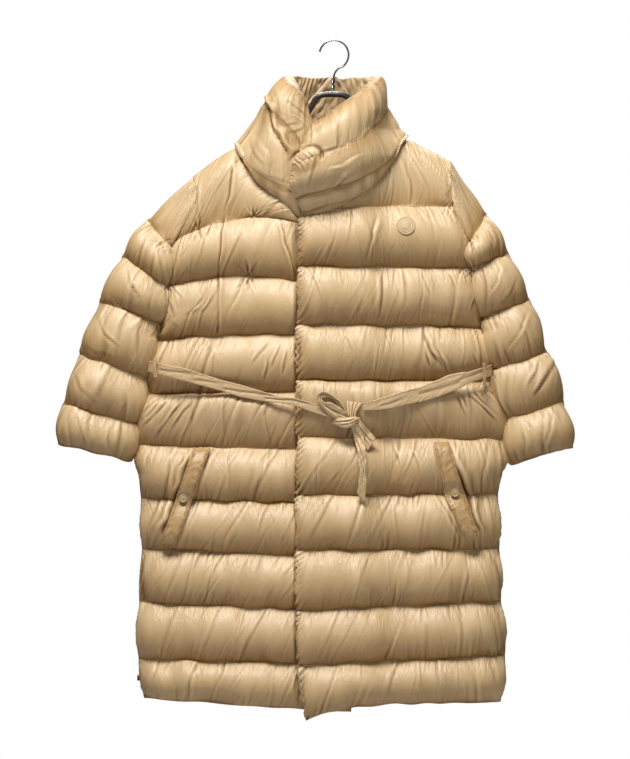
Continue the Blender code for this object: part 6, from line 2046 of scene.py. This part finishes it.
def add_welts(body, band, cover):
    """Both welts with their snaps, and the lines of stitches along their edges."""
    lines = []
    for name, table, pixel in WELTS:
        piece, outer = welt(body, name + "_strip", table, len(name))
        dress(piece, band, "nylon", name)
        lines += [line_on(outer, 0.1), line_on(outer, 0.9)]
        x, z = seen(*pixel, outer[:, :, 1].mean())
        y = Shown([piece]).foremost(x, z, 5)
        snap = name.replace("welt", "snap")
        dress(lathe(snap + "_cap", (x, y - 0.4, z), (0, -1, 0.12), SNAP), cover, "nylon", snap)
    return lines


# ---------------------------------------------------------------- the plain round patch
PATCH_PIXEL, PATCH_REACH, PATCH_SEGMENTS = (406, 225.5), 17, 64
PATCH_RINGS = ((0.01, 1.5), (4.0, 1.5), (8.6, 1.5), (9.3, 1.1), (10.0, 1.5), (13.0, 1.6),
               (13.6, 1.2), (14.2, 1.2), (14.8, 1.9), (16.2, 1.9), (17.0, 1.2), (17.2, 0.0),
               (16.0, -0.8), (0.01, -0.8))


def quadratic(dx, dz):
    return np.stack([np.ones_like(dx), dx, dz, dx * dx, dx * dz, dz * dz], -1)


def add_patch(body):
    """The chest's patch: its rings follow the cloth's larger shape underneath."""
    base = body.foremost(*seen(*PATCH_PIXEL, -70), 4)
    x, z = seen(*PATCH_PIXEL, base)
    steps = np.linspace(-PATCH_REACH, PATCH_REACH, 9)
    spread = [(dx, dz, body.front_y(x + dx, z + dz)) for dx in steps for dz in steps
              if np.hypot(dx, dz) < PATCH_REACH + 1]
    dx, dz, y = np.array(spread).T
    fit = np.linalg.lstsq(quadratic(dx, dz), y, rcond=None)[0]
    lift = max(float((quadratic(dx, dz) @ fit - y).max()), 0.0) * 0.8
    turns = np.linspace(0, 2 * pi, PATCH_SEGMENTS, endpoint=False)
    rings = []
    for radius, height in PATCH_RINGS:
        a, b = radius * np.cos(turns), radius * np.sin(turns)
        rings.append(np.stack([x + a, quadratic(a, b) @ fit - lift - height, z + b], -1))
    gum = plain("patch_gum", (0.56, 0.41, 0.225), 0.5, 0, 120, 6e-5)
    dress(tube("chest_patch_disc", rings, capped=False), gum, "nylon", "chest_patch")


# ---------------------------------------------------------------- the hanger
HOOK_CENTRE, HOOK_RADIUS, WIRE = Place(1.5, -25.2), 27.0, 1.75
WIRE_SEGMENTS = 12
STEM = rows(
    Place, (9.5, -50.5), (5.5, -55), (2.6, -60), (1.0, -66))
TWIST_TOP, TWIST_LOW, TWIST_TURNS = -66.0, -93.0, 1.5
ARMS = rows(
    Place, (-232, -272), (-170, -240), (-110, -204), (-64, -160), (-42, -124), (-29, -103),
    (0, -98), (27, -103), (40, -122), (66, -158), (110, -202), (160, -233), (196, -256))
BAR = ((-5.2, -5.4), (5.2, -5.4), (6.3, -4.0), (6.4, 0.0), (6.2, 2.4), (-6.2, 2.4), (-6.4, 0.0),
       (-6.3, -4.0))
RAIL = ((-6.0, 2.7), (6.0, 2.7), (6.3, 3.5), (5.6, 4.6), (0.0, 5.2), (-5.6, 4.6), (-6.3, 3.5))


def add_hanger():
    """Black arms with a steel rail, and the hook's wire, twisted with a second one below."""
    steel = plain("wire", (0.36, 0.35, 0.35), 0.25, 1, 200, 1e-5)
    black = plain("bar", (0.02, 0.018, 0.017), 0.35, 0, 60, 3e-5)
    places = np.array([(place.x, 0, place.z) for place in ARMS], float)
    arms = curve_through(places, np.linspace(0, walked(places)[-1], 160))
    dress(sweep("hanger_arms_bar", arms, (0, 0, 1), BAR), black, "black_plastic", "hanger_arms")
    dress(sweep("hanger_rail", arms, (0, 0, 1), RAIL), steel, "steel")
    hook = [(HOOK_CENTRE.x + HOOK_RADIUS * cos(turn), 0.0, HOOK_CENTRE.z + HOOK_RADIUS * sin(turn))
            for turn in np.radians(np.arange(168, -54, -4))]
    hook += [(place.x, 0.0, place.z) for place in STEM]
    twist = np.linspace(0, 1, 40)[2:]
    section = [(WIRE * cos(turn), WIRE * sin(turn))
               for turn in np.linspace(0, 2 * pi, WIRE_SEGMENTS, endpoint=False)]
    for name, phase, lead, nodes in (("hanger_hook_wire", 0.0, hook, ["hanger_hook"]),
                                     ("hanger_stem_wire", pi, [], [])):
        angle = phase + 2 * pi * TWIST_TURNS * twist
        winding = np.stack([WIRE * np.cos(angle), WIRE * np.sin(angle),
                            blend(TWIST_TOP, TWIST_LOW, twist)], -1)
        wire = sweep(name, lead + winding.tolist(), (0, -1, 0.02), section)
        dress(wire, steel, "steel", *nodes)


# ---------------------------------------------------------------- hanging loop and hem tag
LOOP_PLACES = np.array([(-46, 18, -114), (-34, 14, -100), (-20, 10, -84), (-8, 6, -71),
                        (0, 4.5, -66), (8, 8, -70), (18, 14, -82), (28, 20, -98)], float)
TAPE_WIDTH, TAPE_CUT, TAPE_WALL = 7.2, 0.010, 1.2
TAG_WALL, TAG_FLAT = 0.35, (0.010, 0.0145)


def add_hanging_loop():
    """The tape inside the neck, over the hanger's stem."""
    at = np.linspace(0, walked(LOOP_PLACES)[-1], 90)
    middle = curve_through(LOOP_PLACES, at)
    tangent = unit(np.gradient(middle, axis=0))
    facing = unit(np.cross(tangent, [0, 0.6, 0.8]))
    facing = np.where(facing[:, 1:2] > 0, -facing, facing)
    beside = unit(np.cross(tangent, facing)) * TAPE_WIDTH / 2
    relief = 0.25 * np.sin(np.linspace(0, 9 * pi, len(at)))[:, None] * np.ones((1, 9))
    piece, _ = cloth_band("hanging_loop_tape", middle - beside, middle + beside, facing[:, None],
                          relief, TAPE_WALL)
    tape = plain("loop_tape", (0.66, 0.50, 0.36), 0.55, 0, 900, 5e-5)
    dress(piece, tape, "nylon", "hanging_loop")


def add_hem_tag():
    """The bare tag in the side seam: a tape folded once, in its node's box."""
    low_corner, high_corner = (np.array(corner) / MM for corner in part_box("hem_tag"))
    out = np.linspace(high_corner[0], low_corner[0] + 0.5, 14)
    x = np.concatenate([out, out[::-1]])
    y = (low_corner[1] + high_corner[1]) / 2 + np.concatenate(
        [np.full(13, -0.45), [-0.3, 0.3], np.full(13, 0.45)])
    sag = 0.5 * np.sin(np.linspace(0, 2 * pi, len(x)))
    low = np.stack([x, y + 0.1 * sag, 0 * x + low_corner[2]], -1)
    high = np.stack([x, y, 0 * x + high_corner[2] - 0.3], -1)
    piece, _ = cloth_band("hem_tag_tape", low, high, (0, -1, 0), np.zeros((len(x), 9)), TAG_WALL)
    dress(piece, plain("tag_tape", (0.012, 0.012, 0.013), 0.7, 0, 1500, 4e-5), "black_tag",
          "hem_tag")


# ---------------------------------------------------------------- putting it together
def add_trimmings(body):
    """Everything that lies on the coat: belt, loops, welts, their stitches and the patch."""
    band = nylon("band_nylon", 0.4)
    cover = plain("snap_cover", (0.43, 0.30, 0.15), 0.4, 0, 300, 4e-5)
    thread = plain("thread", (0.60, 0.44, 0.25), 0.6, 0, 500, 2e-5)
    ring, ways = belt_ring(body)
    belt_lines = add_belt(ring, ways, band)
    add_knot(body, band)
    add_loops(ring, ways, band, cover)
    welt_lines = add_welts(body, band, cover)
    dress(stitches("welt_stitches", welt_lines), thread, "nylon")
    dress(stitches("belt_stitches", belt_lines), thread, "nylon")
    add_patch(body)


bpy.context.scene.view_settings.view_transform = "Standard"
add_camera()
add_world()
for light in LIGHTS:
    add_light(light)
add_floor()
add_trimmings(add_coat())
add_hanger()
add_hanging_loop()
add_hem_tag()
